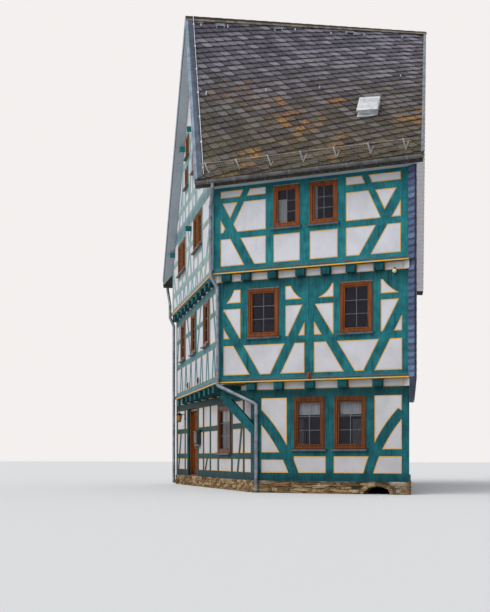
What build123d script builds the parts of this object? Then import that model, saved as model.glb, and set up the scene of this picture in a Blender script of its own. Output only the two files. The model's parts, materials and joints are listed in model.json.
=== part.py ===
from build123d import *
import math
import os

# Half-timbered corner house: a splayed ground floor, two jettied storeys and a twisted slate roof.
# Millimetres, +Z up. The front wall runs along X and faces -Y, the gable side faces left.

# plan
FRONT_LENGTH = 4960
GABLE_LENGTH = 8220
FRONT_CORNER_ANGLE = 126.5
GABLE_REAR_ANGLE = 90
REAR_LENGTH = 7850
SPLAY_INSET = 1000
FRONT_JETTY = 100
SIDE_JETTY = 120

# heights above the lowest ground
PLINTH_TOP = 290
GROUND_TOP = 2470
FIRST_BASE = 2650
FIRST_TOP = 5110
SECOND_BASE = 5290
SECOND_TOP = 7400
SIDE_TOP = 7580
ATTIC_FLOOR = 7420
EAVE_HEIGHT = 7550
REAR_EAVE_HEIGHT = 6450
RIDGE_HEIGHT = 12750
RIDGE_FALL = 150

# walls
TIMBER_DEPTH = 120
WALL_DEPTH = 200
PLINTH_DEPTH = 420
PANEL_SETBACK = 8
POST = 200
RAIL = 150
BRACE = 230
SILL_BEAM = 190
PLATE = 200
MOULDING = 45
CLADDING = 140

# roof
RIDGE_FROM_FRONT_LEFT = 3100
RIDGE_FROM_FRONT_RIGHT = 5920
EAVE_OVERHANG = 350
VERGE_LEFT = 250
VERGE_RIGHT = 440
EAVE_CORNER_LEFT = 455
EAVE_CORNER_RIGHT = 300
ROOF_THICKNESS = 200
VERGE_BOARD = 35
SOFFIT_DEPTH = 240
SOFFIT_THICKNESS = 28
SOFFIT_HEIGHT = 7385
GUTTER_RADIUS = 75
GUTTER_WALL = 4
PIPE_RADIUS = 45

# floors and joists
BOARDS = 40
FLOOR_TOP = PLINTH_TOP + BOARDS
JOIST_WIDTH = 230
JOIST_SETBACK = 12

# windows and door
CASING = 75
CASING_DEPTH = 90
CASING_PROUD = 18
PANE = 16
LEDGE = 70
LEDGE_THICKNESS = 30
DOOR_FROM_FRONT = 5850
DOOR_OPENING = 1160
DOOR_HEAD = 2290
DOOR_JAMB = 75
DOOR_LEAF = 55
DOOR_GAP = 8
DOOR_FRAME_FROM = 60
HINGE_PIN = 8
HINGE_HALF = 55
HINGE_PLAY = 0.3
HINGE_HEIGHTS = (560, 1900)

# jetty beams, measured along the wall they show in
FIRST_JOISTS = (880, 1600, 2400, 3230, 4080)
FIRST_SIDE_JOISTS = (400, 1300, 2200, 3100, 4000, 4900, 5800, 6600, 7300)
SECOND_JOISTS = (330, 860, 1560, 2280, 2920, 3540, 4220)
SECOND_SIDE_JOISTS = (350, 1150, 1950, 2750, 3550, 4350, 5150, 5950, 6750, 7450)

# small pieces
VENT_AT = 3120
VENT_WIDTH = 660
VENT_RISE = 150
GABLE_PURLINS = ((3700, 0.453), (5300, 0.429))
WALL_PURLINS = ((3950, 1930), (7650, 1840))
PURLIN_WIDTH = 110
PURLIN_DEPTH = 130
PURLIN_REACH = 150
LANTERN_FROM_FRONT = 7450
LANTERN_HEIGHT = 2080
LETTER_BOX_FROM_FRONT = 5560
LETTER_BOX_HEIGHT = 1250
SNOW_GUARD_UP = 0.03
SNOW_GUARD_HEIGHT = 290


def direction(angle):
    """Unit vector in plan at an angle from +X in degrees."""
    return Vector(math.cos(math.radians(angle)), math.sin(math.radians(angle)), 0)


def meet(line_a, line_b):
    """Point where two plan lines cross, each a point and a direction."""
    (a, u), (b, v) = line_a, line_b
    cross = u.X * v.Y - u.Y * v.X
    gap = b - a
    return a + u * ((gap.X * v.Y - gap.Y * v.X) / cross)


FRONT_LEFT = Vector(0, 0, 0)
FRONT_RIGHT = Vector(FRONT_LENGTH, 0, 0)
REAR_LEFT = direction(FRONT_CORNER_ANGLE) * GABLE_LENGTH
REAR_RIGHT = REAR_LEFT + direction(FRONT_CORNER_ANGLE - GABLE_REAR_ANGLE) * REAR_LENGTH


def inset(start, end, distance):
    """The plan line from start to end, moved to the inside of the house, which lies on its left."""
    along = (end - start).normalized()
    return start + Vector(-along.Y, along.X, 0) * distance, along


def outline(front=0, right=0, rear=0, left=0, splayed=False):
    """The corners front left, front right, rear right and rear left, each side moved inwards."""
    front_line = inset(FRONT_LEFT, FRONT_RIGHT, front)
    right_line = inset(FRONT_RIGHT, REAR_RIGHT, right)
    rear_line = inset(REAR_RIGHT, REAR_LEFT, rear)
    left_line = inset(REAR_LEFT, FRONT_LEFT, left)
    if splayed:
        foot = Vector(SPLAY_INSET, 2 * FRONT_JETTY, 0)
        heel = meet(inset(REAR_LEFT, FRONT_LEFT, SIDE_JETTY), inset(REAR_RIGHT, REAR_LEFT, 0))
        left_line = inset(heel, foot, left)
    return [
        meet(left_line, front_line),
        meet(front_line, right_line),
        meet(right_line, rear_line),
        meet(rear_line, left_line),
    ]


class Storey:
    """One storey's ring of walls: its outer outline and heights."""

    def __init__(self, base, top, front, left, splayed=False):
        self.base = base
        self.top = top
        self.front = front
        self.left = left
        self.splayed = splayed

    def ring(self, depth):
        """The outline at a depth from the outer faces."""
        left = depth if self.splayed else self.left + depth
        return outline(self.front + depth, depth, depth, left, self.splayed)

    def layer(self, side, outer, inner, base=None, top=None):
        """The part of one wall between two depths, mitred at its corners."""
        a = self.ring(outer)
        b = self.ring(inner)
        after = (side + 1) % 4
        face = make_face(Polyline(a[side], a[after], b[after], b[side], close=True))
        base = self.base if base is None else base
        top = self.top if top is None else top
        return Pos(0, 0, base) * extrude(face, top - base)

    def room(self, base, top, depth=WALL_DEPTH):
        """The space inside the walls, from wall face to wall face."""
        face = make_face(Polyline(*self.ring(depth), close=True))
        return Pos(0, 0, base) * extrude(face, top - base)

    def plane(self, side):
        """Drawing plane on a wall's outer face, seen from outside, with heights as its Y."""
        a = self.ring(0)
        start, end = a[side], a[(side + 1) % 4]
        along = (end - start).normalized()
        return Plane(origin=start, x_dir=along, z_dir=Vector(along.Y, -along.X, 0))

    def length(self, side):
        a = self.ring(0)
        return (a[(side + 1) % 4] - a[side]).length


FRONT, RIGHT, REAR, LEFT = range(4)
GROUND = Storey(PLINTH_TOP, GROUND_TOP, 2 * FRONT_JETTY, 0, splayed=True)
FIRST = Storey(FIRST_BASE, FIRST_TOP, FRONT_JETTY, SIDE_JETTY)
SECOND = Storey(SECOND_BASE, SECOND_TOP, 0, 0)


# timbers, drawn on a wall plane


def post(at, base, top, width=POST):
    return Pos(at, (base + top) / 2) * Rectangle(width, top - base)


def rail(left, right, at, height=RAIL):
    return Pos((left + right) / 2, at) * Rectangle(right - left, height)


def brace(foot, head, width=BRACE):
    """A straight raking timber between two points on its centre line."""
    run = Vector(*head) - Vector(*foot)
    across = Vector(-run.Y, run.X).normalized() * (width / 2)
    a, b = Vector(*foot), Vector(*head)
    return make_face(Polyline(a - across, b - across, b + across, a + across, close=True))


def curved_brace(foot, belly, head, width=BRACE):
    """A timber cut from a bent tree, through three points on its centre line."""
    points = [Vector(*foot), Vector(*belly), Vector(*head)]
    run = (points[2] - points[0]).normalized()
    across = Vector(-run.Y, run.X) * (width / 2)
    a = [p - across for p in points]
    b = [p + across for p in points]
    edges = [
        ThreePointArc(*a),
        Line(a[2], b[2]),
        ThreePointArc(b[2], b[1], b[0]),
        Line(b[0], a[0]),
    ]
    return make_face(edges)


def knee(post_at, foot, belly, head):
    """A solid knee between a post and the plate, its free edge bent through three points."""
    edges = [
        ThreePointArc(foot, belly, head),
        Line(head, (post_at, head[1])),
        Line((post_at, head[1]), (post_at, foot[1])),
        Line((post_at, foot[1]), foot),
    ]
    return make_face(edges)


def window_hole(window):
    left, right, base, top = window
    return Pos((left + right) / 2, (base + top) / 2) * Rectangle(right - left, top - base)


def on_wall(storey, side, sketch, outer, inner):
    """A wall-plane sketch made solid between two depths from the wall's face."""
    plane = storey.plane(side)
    return extrude(plane * Pos(0, 0, -outer) * sketch, outer - inner)


def timber_frame(storey, side, members, windows, base=None, top=None):
    """A wall's timbers as one framed piece, with its window holes open."""
    sketch = Sketch() + members
    holes = [window_hole(w) for w in windows]
    if holes:
        sketch = sketch - holes
    solid = on_wall(storey, side, sketch, 0, TIMBER_DEPTH)
    return solid & storey.layer(side, 0, TIMBER_DEPTH, base, top)


def infill(storey, side, members, windows, base=None, top=None):
    """The plastered panels between the timbers, carried by the wall's inner leaf."""
    panels = storey.layer(side, PANEL_SETBACK, TIMBER_DEPTH, base, top)
    panels = panels - on_wall(storey, side, Sketch() + members, -1, TIMBER_DEPTH)
    wall = storey.layer(side, TIMBER_DEPTH, WALL_DEPTH, base, top) + panels
    for hole in windows:
        wall = wall - on_wall(storey, side, window_hole(hole), -1, WALL_DEPTH + 1)
    return wall


def sill_moulding(storey, side, base):
    """The weathered board along a jetty's sill beam, mitred at the corners."""
    profile = [(0, base + 20), (MOULDING, base + 20), (MOULDING, base + 65), (0, base + 150)]
    plane = storey.plane(side)
    length = storey.length(side)
    face = make_face(Polyline(*[(0, y, x) for x, y in profile], close=True))
    bar = extrude(plane * Pos(-300, 0, 0) * face, length + 600, dir=plane.x_dir)
    return bar & storey.layer(side, -MOULDING, 0, base, base + 200)


def window_frame(storey, side, window):
    """Casing ring with its outer ledge."""
    left, right, base, top = window
    ring = window_hole(window) - window_hole((left + CASING, right - CASING, base + CASING, top - CASING))
    frame = on_wall(storey, side, ring, -CASING_PROUD, CASING_DEPTH)
    ledge = window_hole((left - 40, right + 40, base - LEDGE_THICKNESS, base))
    return frame + on_wall(storey, side, ledge, -LEDGE, 0)


def window_pane(storey, side, window):
    left, right, base, top = window
    pane = window_hole((left + CASING, right - CASING, base + CASING, top - CASING))
    middle = CASING_DEPTH / 2
    return on_wall(storey, side, pane, middle - PANE / 2, middle + PANE / 2)


# front wall


def window_row(base, low, high, *widths):
    """Windows at one height above a storey's base, each from its left and right side."""
    return [(left, right, base + low, base + high) for left, right in widths]


SECOND_WINDOWS = window_row(SECOND_BASE, 1000, 1995, (1610, 2290), (2540, 3240))
FIRST_WINDOWS = window_row(FIRST_BASE, 1080, 2250, (815, 1630), (3190, 3975))
GROUND_WINDOWS = window_row(PLINTH_TOP, 750, 1960, (1050, 1840), (2085, 2865))


def second_front_members():
    base, top, end = SECOND_BASE, SECOND_TOP, FRONT_LENGTH
    left, right = SECOND_WINDOWS
    middle = (left[1] + right[0]) / 2
    return [
        rail(0, end, base + SILL_BEAM / 2, SILL_BEAM),
        rail(0, end, top - PLATE / 4, PLATE / 2),
        post(POST / 2, base, top),
        post(end - POST / 2, base, top),
        post(left[0] - POST / 2, base, top),
        post(middle, base, top, right[0] - left[1]),
        post(right[1] + POST / 2, base, top),
        rail(0, end, base + 925, 150),
        rail(0, left[0], base + 1780, 120),
        rail(right[1], end, base + 1740, 170),
        brace((1010, base + 120), (60, base + 1820)),
        brace((330, base + 950), (960, top), 150),
        brace((3860, base + 120), (end - 60, base + 1820)),
        brace((4400, base + 950), (3860, top), 150),
    ]


def first_front_members():
    base, top, end = FIRST_BASE, FIRST_TOP, FRONT_LENGTH
    left, right = FIRST_WINDOWS
    middle, half = 2410, 120
    low, high = base + 990, base + 1870
    foot, belly, head = base + 1930, base + 2085, top - 160
    return [
        rail(0, end, base + SILL_BEAM / 2, SILL_BEAM),
        rail(0, end, top - PLATE / 2, PLATE),
        post(75, base, top, 150),
        post(end - 140, base, top, 280),
        post(left[0] - POST / 2, low, top),
        post(left[1] + POST / 2 - 15, low, top, POST - 30),
        post(middle, base, top, 2 * half),
        post(right[0] - POST / 2 + 15, low, top, POST - 30),
        post(right[1] + POST / 2, low, top),
        rail(0, end, low, 170),
        rail(0, left[0], high, 140),
        rail(left[1], right[0], high, 140),
        rail(right[1], end, high, 140),
        brace((1040, base + 120), (80, base + 1680)),
        brace((1500, base + 120), (middle - 20, base + 1830)),
        brace((3455, base + 120), (middle + 10, base + 1790)),
        brace((3850, base + 120), (4800, base + 1910)),
        knee(100, (215, foot), (350, belly), (450, head)),
        knee(middle, (2240, foot), (2050, belly), (1930, head)),
        knee(middle, (2580, foot), (2860, belly), (3000, head)),
        knee(4800, (4630, foot), (4390, belly), (4200, head)),
    ]


def ground_front_members():
    base, top = PLINTH_TOP, GROUND_TOP
    end = GROUND.length(FRONT)
    left, right = GROUND_WINDOWS
    low = base + 600
    return [
        rail(0, end, base + SILL_BEAM / 2, SILL_BEAM),
        rail(0, end, top - PLATE / 2, PLATE),
        post(100, base, top, 200),
        post(end - 90, base, top, 180),
        post(left[0] - 90, low, top, 180),
        post((left[1] + right[0]) / 2, low, top, right[0] - left[1]),
        post((left[1] + right[0]) / 2, base, low, 200),
        post(right[1] + POST / 2, low, top),
        rail(0, left[0], base + 590, 170),
        rail(left[0], end, base + 665, 160),
        curved_brace((1075, base + 100), (785, base + 735), (40, base + 1690), 250),
        curved_brace((2890, base + 100), (3105, base + 710), (3730, base + 1620)),
    ]


# gable side, drawn from its rear corner at 0 to the front corner


def from_front(storey, *distances):
    """Positions measured from the front corner turned into wall-plane positions."""
    return [storey.length(LEFT) - d for d in distances]


def side_window(storey, near, far, base, top):
    right, left = from_front(storey, near, far)
    return left, right, base, top


def gable_level(share):
    """A height in the gable, as a share of the way from the wall plate to the ridge."""
    return SIDE_TOP + share * (RIDGE_HEIGHT - SIDE_TOP)


FIRST_SIDE_WINDOWS = [
    side_window(FIRST, near, far, FIRST_BASE + 1110, FIRST_BASE + 2250)
    for near, far in ((1400, 2320), (3800, 4700), (6100, 7000))
]
SECOND_SIDE_WINDOWS = [
    side_window(SECOND, 1900, 2560, SECOND_BASE + 1130, SECOND_BASE + 2080),
    side_window(SECOND, 2720, 3380, SECOND_BASE + 1130, SECOND_BASE + 2080),
    side_window(SECOND, 5150, 5830, SECOND_BASE + 1020, SECOND_BASE + 1940),
    side_window(SECOND, 6010, 6690, SECOND_BASE + 1020, SECOND_BASE + 1940),
]
GABLE_WINDOWS = [
    side_window(SECOND, 2950, 3550, gable_level(0.207), gable_level(0.348)),
    side_window(SECOND, 4530, 5130, gable_level(0.193), gable_level(0.304)),
    side_window(SECOND, 4350, 4950, gable_level(0.354), gable_level(0.47)),
]
GROUND_SIDE_WINDOWS = [side_window(GROUND, 2100, 3350, PLINTH_TOP + 670, PLINTH_TOP + 1910)]


def framed_openings(windows, base, top, rail_at):
    """A post at each side of each window and a rail under it."""
    members = []
    for left, right, low, high in windows:
        members.append(post(left - 80, base, top, 160))
        members.append(post(right + 80, base, top, 160))
        members.append(rail(left, right, high + 70, 140))
        members.append(rail(left, right, low - 75, 150))
    return members


def zigzag(storey, nears, base, low):
    """Pairs of raking timbers that lean together under the window rail."""
    members = []
    for near in nears:
        at = from_front(storey, near)[0]
        members.append(brace((at - 250, base), (at - 40, low), 130))
        members.append(brace((at + 250, base), (at + 40, low), 130))
    return members


def first_side_members():
    base, top, end = FIRST_BASE, FIRST_TOP, FIRST.length(LEFT)
    low = base + 990
    members = [
        rail(0, end, base + SILL_BEAM / 2, SILL_BEAM),
        rail(0, end, top - PLATE / 2, PLATE),
        post(POST / 2, base, top),
        post(end - POST / 2, base, top),
        rail(0, end, low, 150),
        rail(0, end, base + 1770, 120),
    ]
    members += framed_openings(FIRST_SIDE_WINDOWS, low, top, low)
    members += zigzag(FIRST, (650, 1700, 2750, 3800, 4850, 5900, 6950), base + 100, low)
    for near, lean in ((700, -420), (3060, 520), (5400, -520), (7560, 420)):
        at = from_front(FIRST, near)[0]
        members.append(brace((at - lean, low), (at + lean / 2, top - 60), 150))
    return members


def second_side_members():
    base, top, end = SECOND_BASE, SIDE_TOP, SECOND.length(LEFT)
    low, head = base + 590, base + 2010
    members = [
        rail(0, end, base + SILL_BEAM / 2, SILL_BEAM),
        rail(0, end, top - 100, PLATE),
        post(POST / 2, base, top),
        post(end - POST / 2, base, top),
        rail(0, end, low, 150),
        rail(0, end, base + 1500, 120),
        brace((end - 1500, base + 100), (end - 120, head), 190),
        brace((1250, base + 100), (120, base + 1410), 190),
        brace((end - 4900, low), (end - 3900, head), 190),
        brace((end - 3900, low), (end - 4600, head), 160),
    ]
    members += zigzag(SECOND, (2050, 2900, 3750, 4600, 5450, 6300), base + 100, low)
    return members + framed_openings(SECOND_SIDE_WINDOWS, low, top, low)


def gable_members():
    base, end = SIDE_TOP, SECOND.length(LEFT)
    apex = from_front(SECOND, RIDGE_FROM_FRONT_LEFT)[0]
    low, collar, high = gable_level(0.105), gable_level(0.335), gable_level(0.69)
    members = [
        rail(0, end, base + 70, 140),
        rail(0, end, low, 140),
        rail(0, end, collar, 140),
        rail(0, end, high, 160),
        post(apex, base, RIDGE_HEIGHT, 200),
        post(apex - 2650, base, RIDGE_HEIGHT, 180),
        post(apex + 1500, base, RIDGE_HEIGHT, 160),
        brace((apex - 1150, low), (apex - 750, collar), 170),
        brace((apex + 2150, base), (apex + 1150, collar), 190),
        brace((apex - 3600, base), (apex - 2600, gable_level(0.255)), 170),
        brace((apex - 1050, collar), (apex - 350, high), 170),
    ]
    members += framed_openings(GABLE_WINDOWS[:2], base, gable_level(0.375), low)
    return members + framed_openings(GABLE_WINDOWS[2:], collar, gable_level(0.5), low)


def ground_side_members():
    base, top, end = PLINTH_TOP, GROUND_TOP, GROUND.length(LEFT)
    low, high = base + 590, base + 1350
    return [
        rail(0, end, base + SILL_BEAM / 2, SILL_BEAM),
        rail(0, end, top - PLATE / 2, PLATE),
        post(POST / 2, base, top),
        post(end - 135, base, top, 270),
        rail(0, end, low, 150),
        rail(0, end, high, 140),
        post(end - 900, base, top, 150),
        brace((end - 1500, base + 100), (end - 1080, high), 150),
        post(end - 4300, base, top, 150),
        brace((end - 4950, base + 100), (end - 4620, low), 130),
        post(end - 5100, base, top, 150),
        post(end - DOOR_FROM_FRONT + 90, base, top, 180),
        post(end - DOOR_FROM_FRONT - DOOR_OPENING - 90, base, top, 180),
        post(end - LANTERN_FROM_FRONT, base, top, 160),
        brace((300, base + 100), (700, high), 150),
    ] + framed_openings(GROUND_SIDE_WINDOWS, base, top, low)


# rear wall, plain: drawn from the rear right corner at 0


def rear_windows(storey):
    """Three windows, at heights that follow the storey and the rear eave."""
    base = storey.base
    room = REAR_EAVE_HEIGHT - SECOND_BASE
    low, high = {
        PLINTH_TOP: (750, 1910),
        FIRST_BASE: (1080, 2200),
        SECOND_BASE: (0.44 * room, 0.853 * room),
    }[base]
    middle = storey.length(REAR) / 2
    return [(middle + at - 400, middle + at + 400, base + low, base + high) for at in (-2200, 0, 2200)]


def rear_members(storey, top, windows):
    base, end = storey.base, storey.length(REAR)
    low = windows[0][2] - 75
    members = [
        rail(0, end, base + SILL_BEAM / 2, SILL_BEAM),
        rail(0, end, top - PLATE / 2, PLATE),
        post(POST / 2, base, top),
        post(end - POST / 2, base, top),
        rail(0, end, low, 150),
        brace((900, base + 100), (120, top - 200), 190),
        brace((end - 900, base + 100), (end - 120, top - 200), 190),
    ]
    return members + framed_openings(windows, base, top, low)


# roof


def verge_line(side, at_eave=False):
    """The plan line under a verge, or one parallel to it through its front eave corner."""
    if side == LEFT:
        return inset(REAR_LEFT, FRONT_LEFT, -(EAVE_CORNER_LEFT if at_eave else VERGE_LEFT))
    return inset(FRONT_RIGHT, REAR_RIGHT, -(EAVE_CORNER_RIGHT if at_eave else VERGE_RIGHT))


def verge_points(side, drop=0):
    """Front eave, ridge and rear eave points of a verge, lowered by a drop."""
    line = verge_line(side)
    front = meet(verge_line(side, True), inset(FRONT_LEFT, FRONT_RIGHT, -EAVE_OVERHANG))
    rear = meet(line, inset(REAR_RIGHT, REAR_LEFT, -EAVE_OVERHANG))
    left_foot = FRONT_LEFT + direction(FRONT_CORNER_ANGLE) * RIDGE_FROM_FRONT_LEFT
    right_foot = FRONT_RIGHT + (REAR_RIGHT - FRONT_RIGHT).normalized() * RIDGE_FROM_FRONT_RIGHT
    ridge = meet(line, (left_foot, (right_foot - left_foot).normalized()))
    ridge_height = RIDGE_HEIGHT - (RIDGE_FALL if side == RIGHT else 0)
    return [
        front + Vector(0, 0, EAVE_HEIGHT - drop),
        ridge + Vector(0, 0, ridge_height - drop),
        rear + Vector(0, 0, REAR_EAVE_HEIGHT - drop),
    ]


def between_verges(section):
    """A solid ruled from its section at the left verge to that at the right verge."""
    faces = [make_face(Polyline(*section(side), close=True)) for side in (LEFT, RIGHT)]
    return loft(faces, ruled=True)


def roof_slope(first, second):
    """One slope's slab, twisted because the eave and the ridge aren't parallel in plan."""

    def section(side):
        top = verge_points(side)
        under = verge_points(side, ROOF_THICKNESS)
        return [top[first], top[second], under[second], under[first]]

    return between_verges(section)


def under_slope(first, second, drop, base):
    """The space below one slope, from its ridge to its eave, down to a base height."""

    def section(side):
        points = verge_points(side, drop)
        high, low = points[first], points[second]
        return [Vector(high.X, high.Y, base), high, low, Vector(low.X, low.Y, base)]

    return between_verges(section)


def under_roof(drop, base):
    """All the space below the roof slabs, down to a base height."""
    return under_slope(0, 1, drop, base) + under_slope(1, 2, drop, base)


def verge_boards(attic):
    """Boards closing the underside of the left verge, along both slopes."""
    lower = under_roof(ROOF_THICKNESS + VERGE_BOARD, 5000)
    left_wall = SECOND.layer(LEFT, -2 * EAVE_CORNER_LEFT, 0, REAR_EAVE_HEIGHT - 600, RIDGE_HEIGHT)
    return (attic & left_wall) - lower


def eaves_soffit(under):
    """Boards closing the underside of the front eave against the wall."""
    face = SECOND.layer(FRONT, -SOFFIT_DEPTH, 0, SOFFIT_HEIGHT, SOFFIT_HEIGHT + SOFFIT_THICKNESS)
    return face & under


def half_round_gutter(start, end):
    """A half-round trough between two points."""
    along = (end - start).normalized()
    section = Plane(origin=start, x_dir=Vector(-along.Y, along.X, 0), z_dir=along)
    ring = Circle(GUTTER_RADIUS) - Circle(GUTTER_RADIUS - GUTTER_WALL)
    ring = ring & Pos(0, -GUTTER_RADIUS) * Rectangle(4 * GUTTER_RADIUS, 2 * GUTTER_RADIUS)
    if section.y_dir.Z < 0:
        ring = ring.mirror(Plane.XZ)
    return extrude(section * ring, (end - start).length)


def gutters():
    """The front and rear gutters, each against its roof edge."""
    out = EAVE_OVERHANG + GUTTER_RADIUS
    made = []
    for (start, end), height, at_eave in (
        ((FRONT_LEFT, FRONT_RIGHT), EAVE_HEIGHT, True),
        ((REAR_RIGHT, REAR_LEFT), REAR_EAVE_HEIGHT, False),
    ):
        line = inset(start, end, -out)
        ends = [meet(line, verge_line(side, at_eave)) for side in (LEFT, RIGHT)]
        lift = Vector(0, 0, height - 60)
        made.append(half_round_gutter(ends[0] + lift, ends[1] + lift))
    return made


def pipe(points, bend):
    """A round pipe along a bent path."""
    path = FilletPolyline(*points, radius=bend)
    section = Plane(origin=path @ 0, z_dir=path % 0)
    return sweep(section * Circle(PIPE_RADIUS), path=path)


def downpipes():
    """The front pipe follows the jetties at the corner, the rear pipe runs straight down."""
    out = EAVE_OVERHANG + GUTTER_RADIUS
    clear = PIPE_RADIUS + MOULDING + 12
    front = pipe(
        [
            (205, -out, EAVE_HEIGHT - 60 - GUTTER_RADIUS),
            (205, -out, EAVE_HEIGHT - 260),
            (-15, -clear, EAVE_HEIGHT - 640),
            (-15, -clear, SECOND_BASE - 50),
            (120, FRONT_JETTY - clear, SECOND_BASE - 320),
            (120, FRONT_JETTY - clear, FIRST_BASE - 50),
            (SPLAY_INSET + 90, 2 * FRONT_JETTY - PIPE_RADIUS - 4, FIRST_BASE - 520),
            (SPLAY_INSET + 90, 2 * FRONT_JETTY - PIPE_RADIUS - 4, 40),
        ],
        60,
    )
    along = (FRONT_LEFT - REAR_LEFT).normalized()
    away = (REAR_LEFT - REAR_RIGHT).normalized()
    back = Vector(-away.Y, away.X, 0)
    stand_off = away * (PIPE_RADIUS + MOULDING + 5) + along * 140
    corner = REAR_LEFT + stand_off
    lower_corner = FIRST.ring(0)[3] + stand_off
    outlet = meet(inset(REAR_RIGHT, REAR_LEFT, -out), inset(REAR_LEFT, FRONT_LEFT, -PIPE_RADIUS - 60))
    rear = pipe(
        [
            outlet + Vector(0, 0, REAR_EAVE_HEIGHT - 60 - GUTTER_RADIUS),
            outlet + Vector(0, 0, REAR_EAVE_HEIGHT - 260),
            corner + Vector(0, 0, REAR_EAVE_HEIGHT - 800),
            corner + Vector(0, 0, SECOND_BASE - 50),
            lower_corner + Vector(0, 0, SECOND_BASE - 320),
            lower_corner + Vector(0, 0, 40),
        ],
        60,
    )
    return [front, rear]


def roof_place(across, up):
    """Plane on the front slope, at shares of its width and of its height."""
    left, right = verge_points(LEFT), verge_points(RIGHT)
    eave = left[0] + (right[0] - left[0]) * across
    ridge = left[1] + (right[1] - left[1]) * across
    low = left[0] + (left[1] - left[0]) * up
    high = right[0] + (right[1] - right[0]) * up
    along = (high - low).normalized()
    normal = along.cross((ridge - eave).normalized()).normalized()
    return Plane(origin=eave + (ridge - eave) * up, x_dir=along, z_dir=normal)


def roof_hatch():
    """A sheet-metal roof hatch: a kerb and a lid that overhangs it."""
    place = roof_place(0.772, 0.34)
    kerb = extrude(place * Pos(0, 0, -60) * Rectangle(430, 620), 190)
    lid = extrude(place * Pos(0, 0, 130) * Rectangle(510, 700), 40)
    return kerb + lid


# jetties, floors and plinth


def joist_ends(lower, upper, fronts, sides):
    """Beam ends that carry the upper storey's sills over the wall below."""
    base, top = lower.top, upper.base
    region = make_face(Polyline(*upper.ring(JOIST_SETBACK), close=True))
    region = region - make_face(Polyline(*lower.ring(WALL_DEPTH), close=True))
    space = Pos(0, 0, base) * extrude(region, top - base)
    for side in (RIGHT, REAR):
        space = space - upper.layer(side, -1, WALL_DEPTH, base, top)
    ends = []
    for side, places in ((FRONT, fronts), (LEFT, sides)):
        plane = upper.plane(side)
        for at in places:
            bar = plane * Pos(at, (base + top) / 2, 300) * Box(JOIST_WIDTH, top - base, 4000)
            ends.append(bar & space)
    return ends


def jetty_strip(lower, upper, ends):
    """Plastered strips between the beam ends, standing on the plate below."""
    made = []
    for side in (FRONT, LEFT):
        strip = lower.layer(side, 30, 120, lower.top, upper.base)
        for other in (RIGHT, REAR):
            strip = strip - upper.layer(other, -1, WALL_DEPTH, lower.top, upper.base)
        for end in ends:
            strip = strip - end
        made.append(strip)
    return made[0] + made[1]


def floor_deck(lower, upper):
    """Beams and ceiling as one mass inside the walls below, with boards over it to the walls above."""
    mass = lower.room(lower.top, upper.base)
    return mass + upper.room(upper.base, upper.base + BOARDS)


def plinth():
    """Rubble base under the walls, with its low arched vent at the front."""
    faces = [make_face(Polyline(*GROUND.ring(d), close=True)) for d in (0, PLINTH_DEPTH)]
    base = extrude(faces[0] - faces[1], PLINTH_TOP)
    arch = Pos(VENT_AT, 0) * (Rectangle(VENT_WIDTH, 60) + Pos(0, 20) * Ellipse(VENT_WIDTH / 2, VENT_RISE))
    hole = on_wall(GROUND, FRONT, arch & Pos(VENT_AT, 500) * Rectangle(2000, 1000), -1, PLINTH_DEPTH + 1)
    return base - hole


def right_wall(under):
    """Party wall, following the jetties at its front end."""
    wall = GROUND.layer(RIGHT, 0, WALL_DEPTH)
    wall = wall + FIRST.layer(RIGHT, 0, WALL_DEPTH, GROUND_TOP, FIRST_TOP)
    return wall + (SECOND.layer(RIGHT, 0, WALL_DEPTH, FIRST_TOP, RIDGE_HEIGHT) & under)


def slate_cladding(under):
    """Boarding and hung slates over the side wall."""
    skin = FIRST.layer(RIGHT, -CLADDING, 0, FIRST_BASE, SECOND_BASE)
    return skin + (SECOND.layer(RIGHT, -CLADDING, 0, SECOND_BASE, RIDGE_HEIGHT) & under)


def rear_wall(under):
    """Rear timbers and their infill, flush from storey to storey."""
    second_rear_top = REAR_EAVE_HEIGHT + 200
    timbers, panels = [], []
    for storey, top in ((GROUND, GROUND_TOP), (FIRST, FIRST_TOP), (SECOND, second_rear_top)):
        windows = rear_windows(storey)
        members = rear_members(storey, top, windows)
        timbers.append(timber_frame(storey, REAR, members, windows, top=top))
        panels.append(infill(storey, REAR, members, windows, top=top))
    for lower, upper in ((GROUND, FIRST), (FIRST, SECOND)):
        timbers.append(upper.layer(REAR, 0, TIMBER_DEPTH, lower.top, upper.base))
        panels.append(upper.layer(REAR, TIMBER_DEPTH, WALL_DEPTH, lower.top, upper.base))
    frame, wall = timbers[0], panels[0]
    for timber, panel in zip(timbers[1:], panels[1:]):
        frame = frame + timber
        wall = wall + panel
    return frame & under, wall & under


def door_edges():
    """The doorway's left and right sides on the splayed wall's plane."""
    right = from_front(GROUND, DOOR_FROM_FRONT)[0]
    return right - DOOR_OPENING, right


def beside_door(solid, part):
    """The piece of the splayed wall in front of, behind or over the doorway."""
    left, right = door_edges()
    end = GROUND.length(LEFT)
    low, high = {
        "front": ((right, PLINTH_TOP), (end + 500, GROUND_TOP)),
        "rear": ((-500, PLINTH_TOP), (left, GROUND_TOP)),
        "over": ((left, DOOR_HEAD), (right, GROUND_TOP)),
    }[part]
    zone = window_hole((low[0], high[0], low[1], high[1]))
    return solid & on_wall(GROUND, LEFT, zone, -50, WALL_DEPTH + 50)


def door_frame():
    """Jambs, head and threshold of the entrance."""
    left, right = door_edges()
    outer = window_hole((left, right, PLINTH_TOP, DOOR_HEAD))
    inner = window_hole((left + DOOR_JAMB, right - DOOR_JAMB, FLOOR_TOP, DOOR_HEAD - DOOR_JAMB))
    frame = on_wall(GROUND, LEFT, outer - inner, DOOR_FRAME_FROM, WALL_DEPTH)
    for at in HINGE_HEIGHTS:
        frame = frame + hinge_half(at, at + HINGE_HALF, -1)
    return frame


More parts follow.
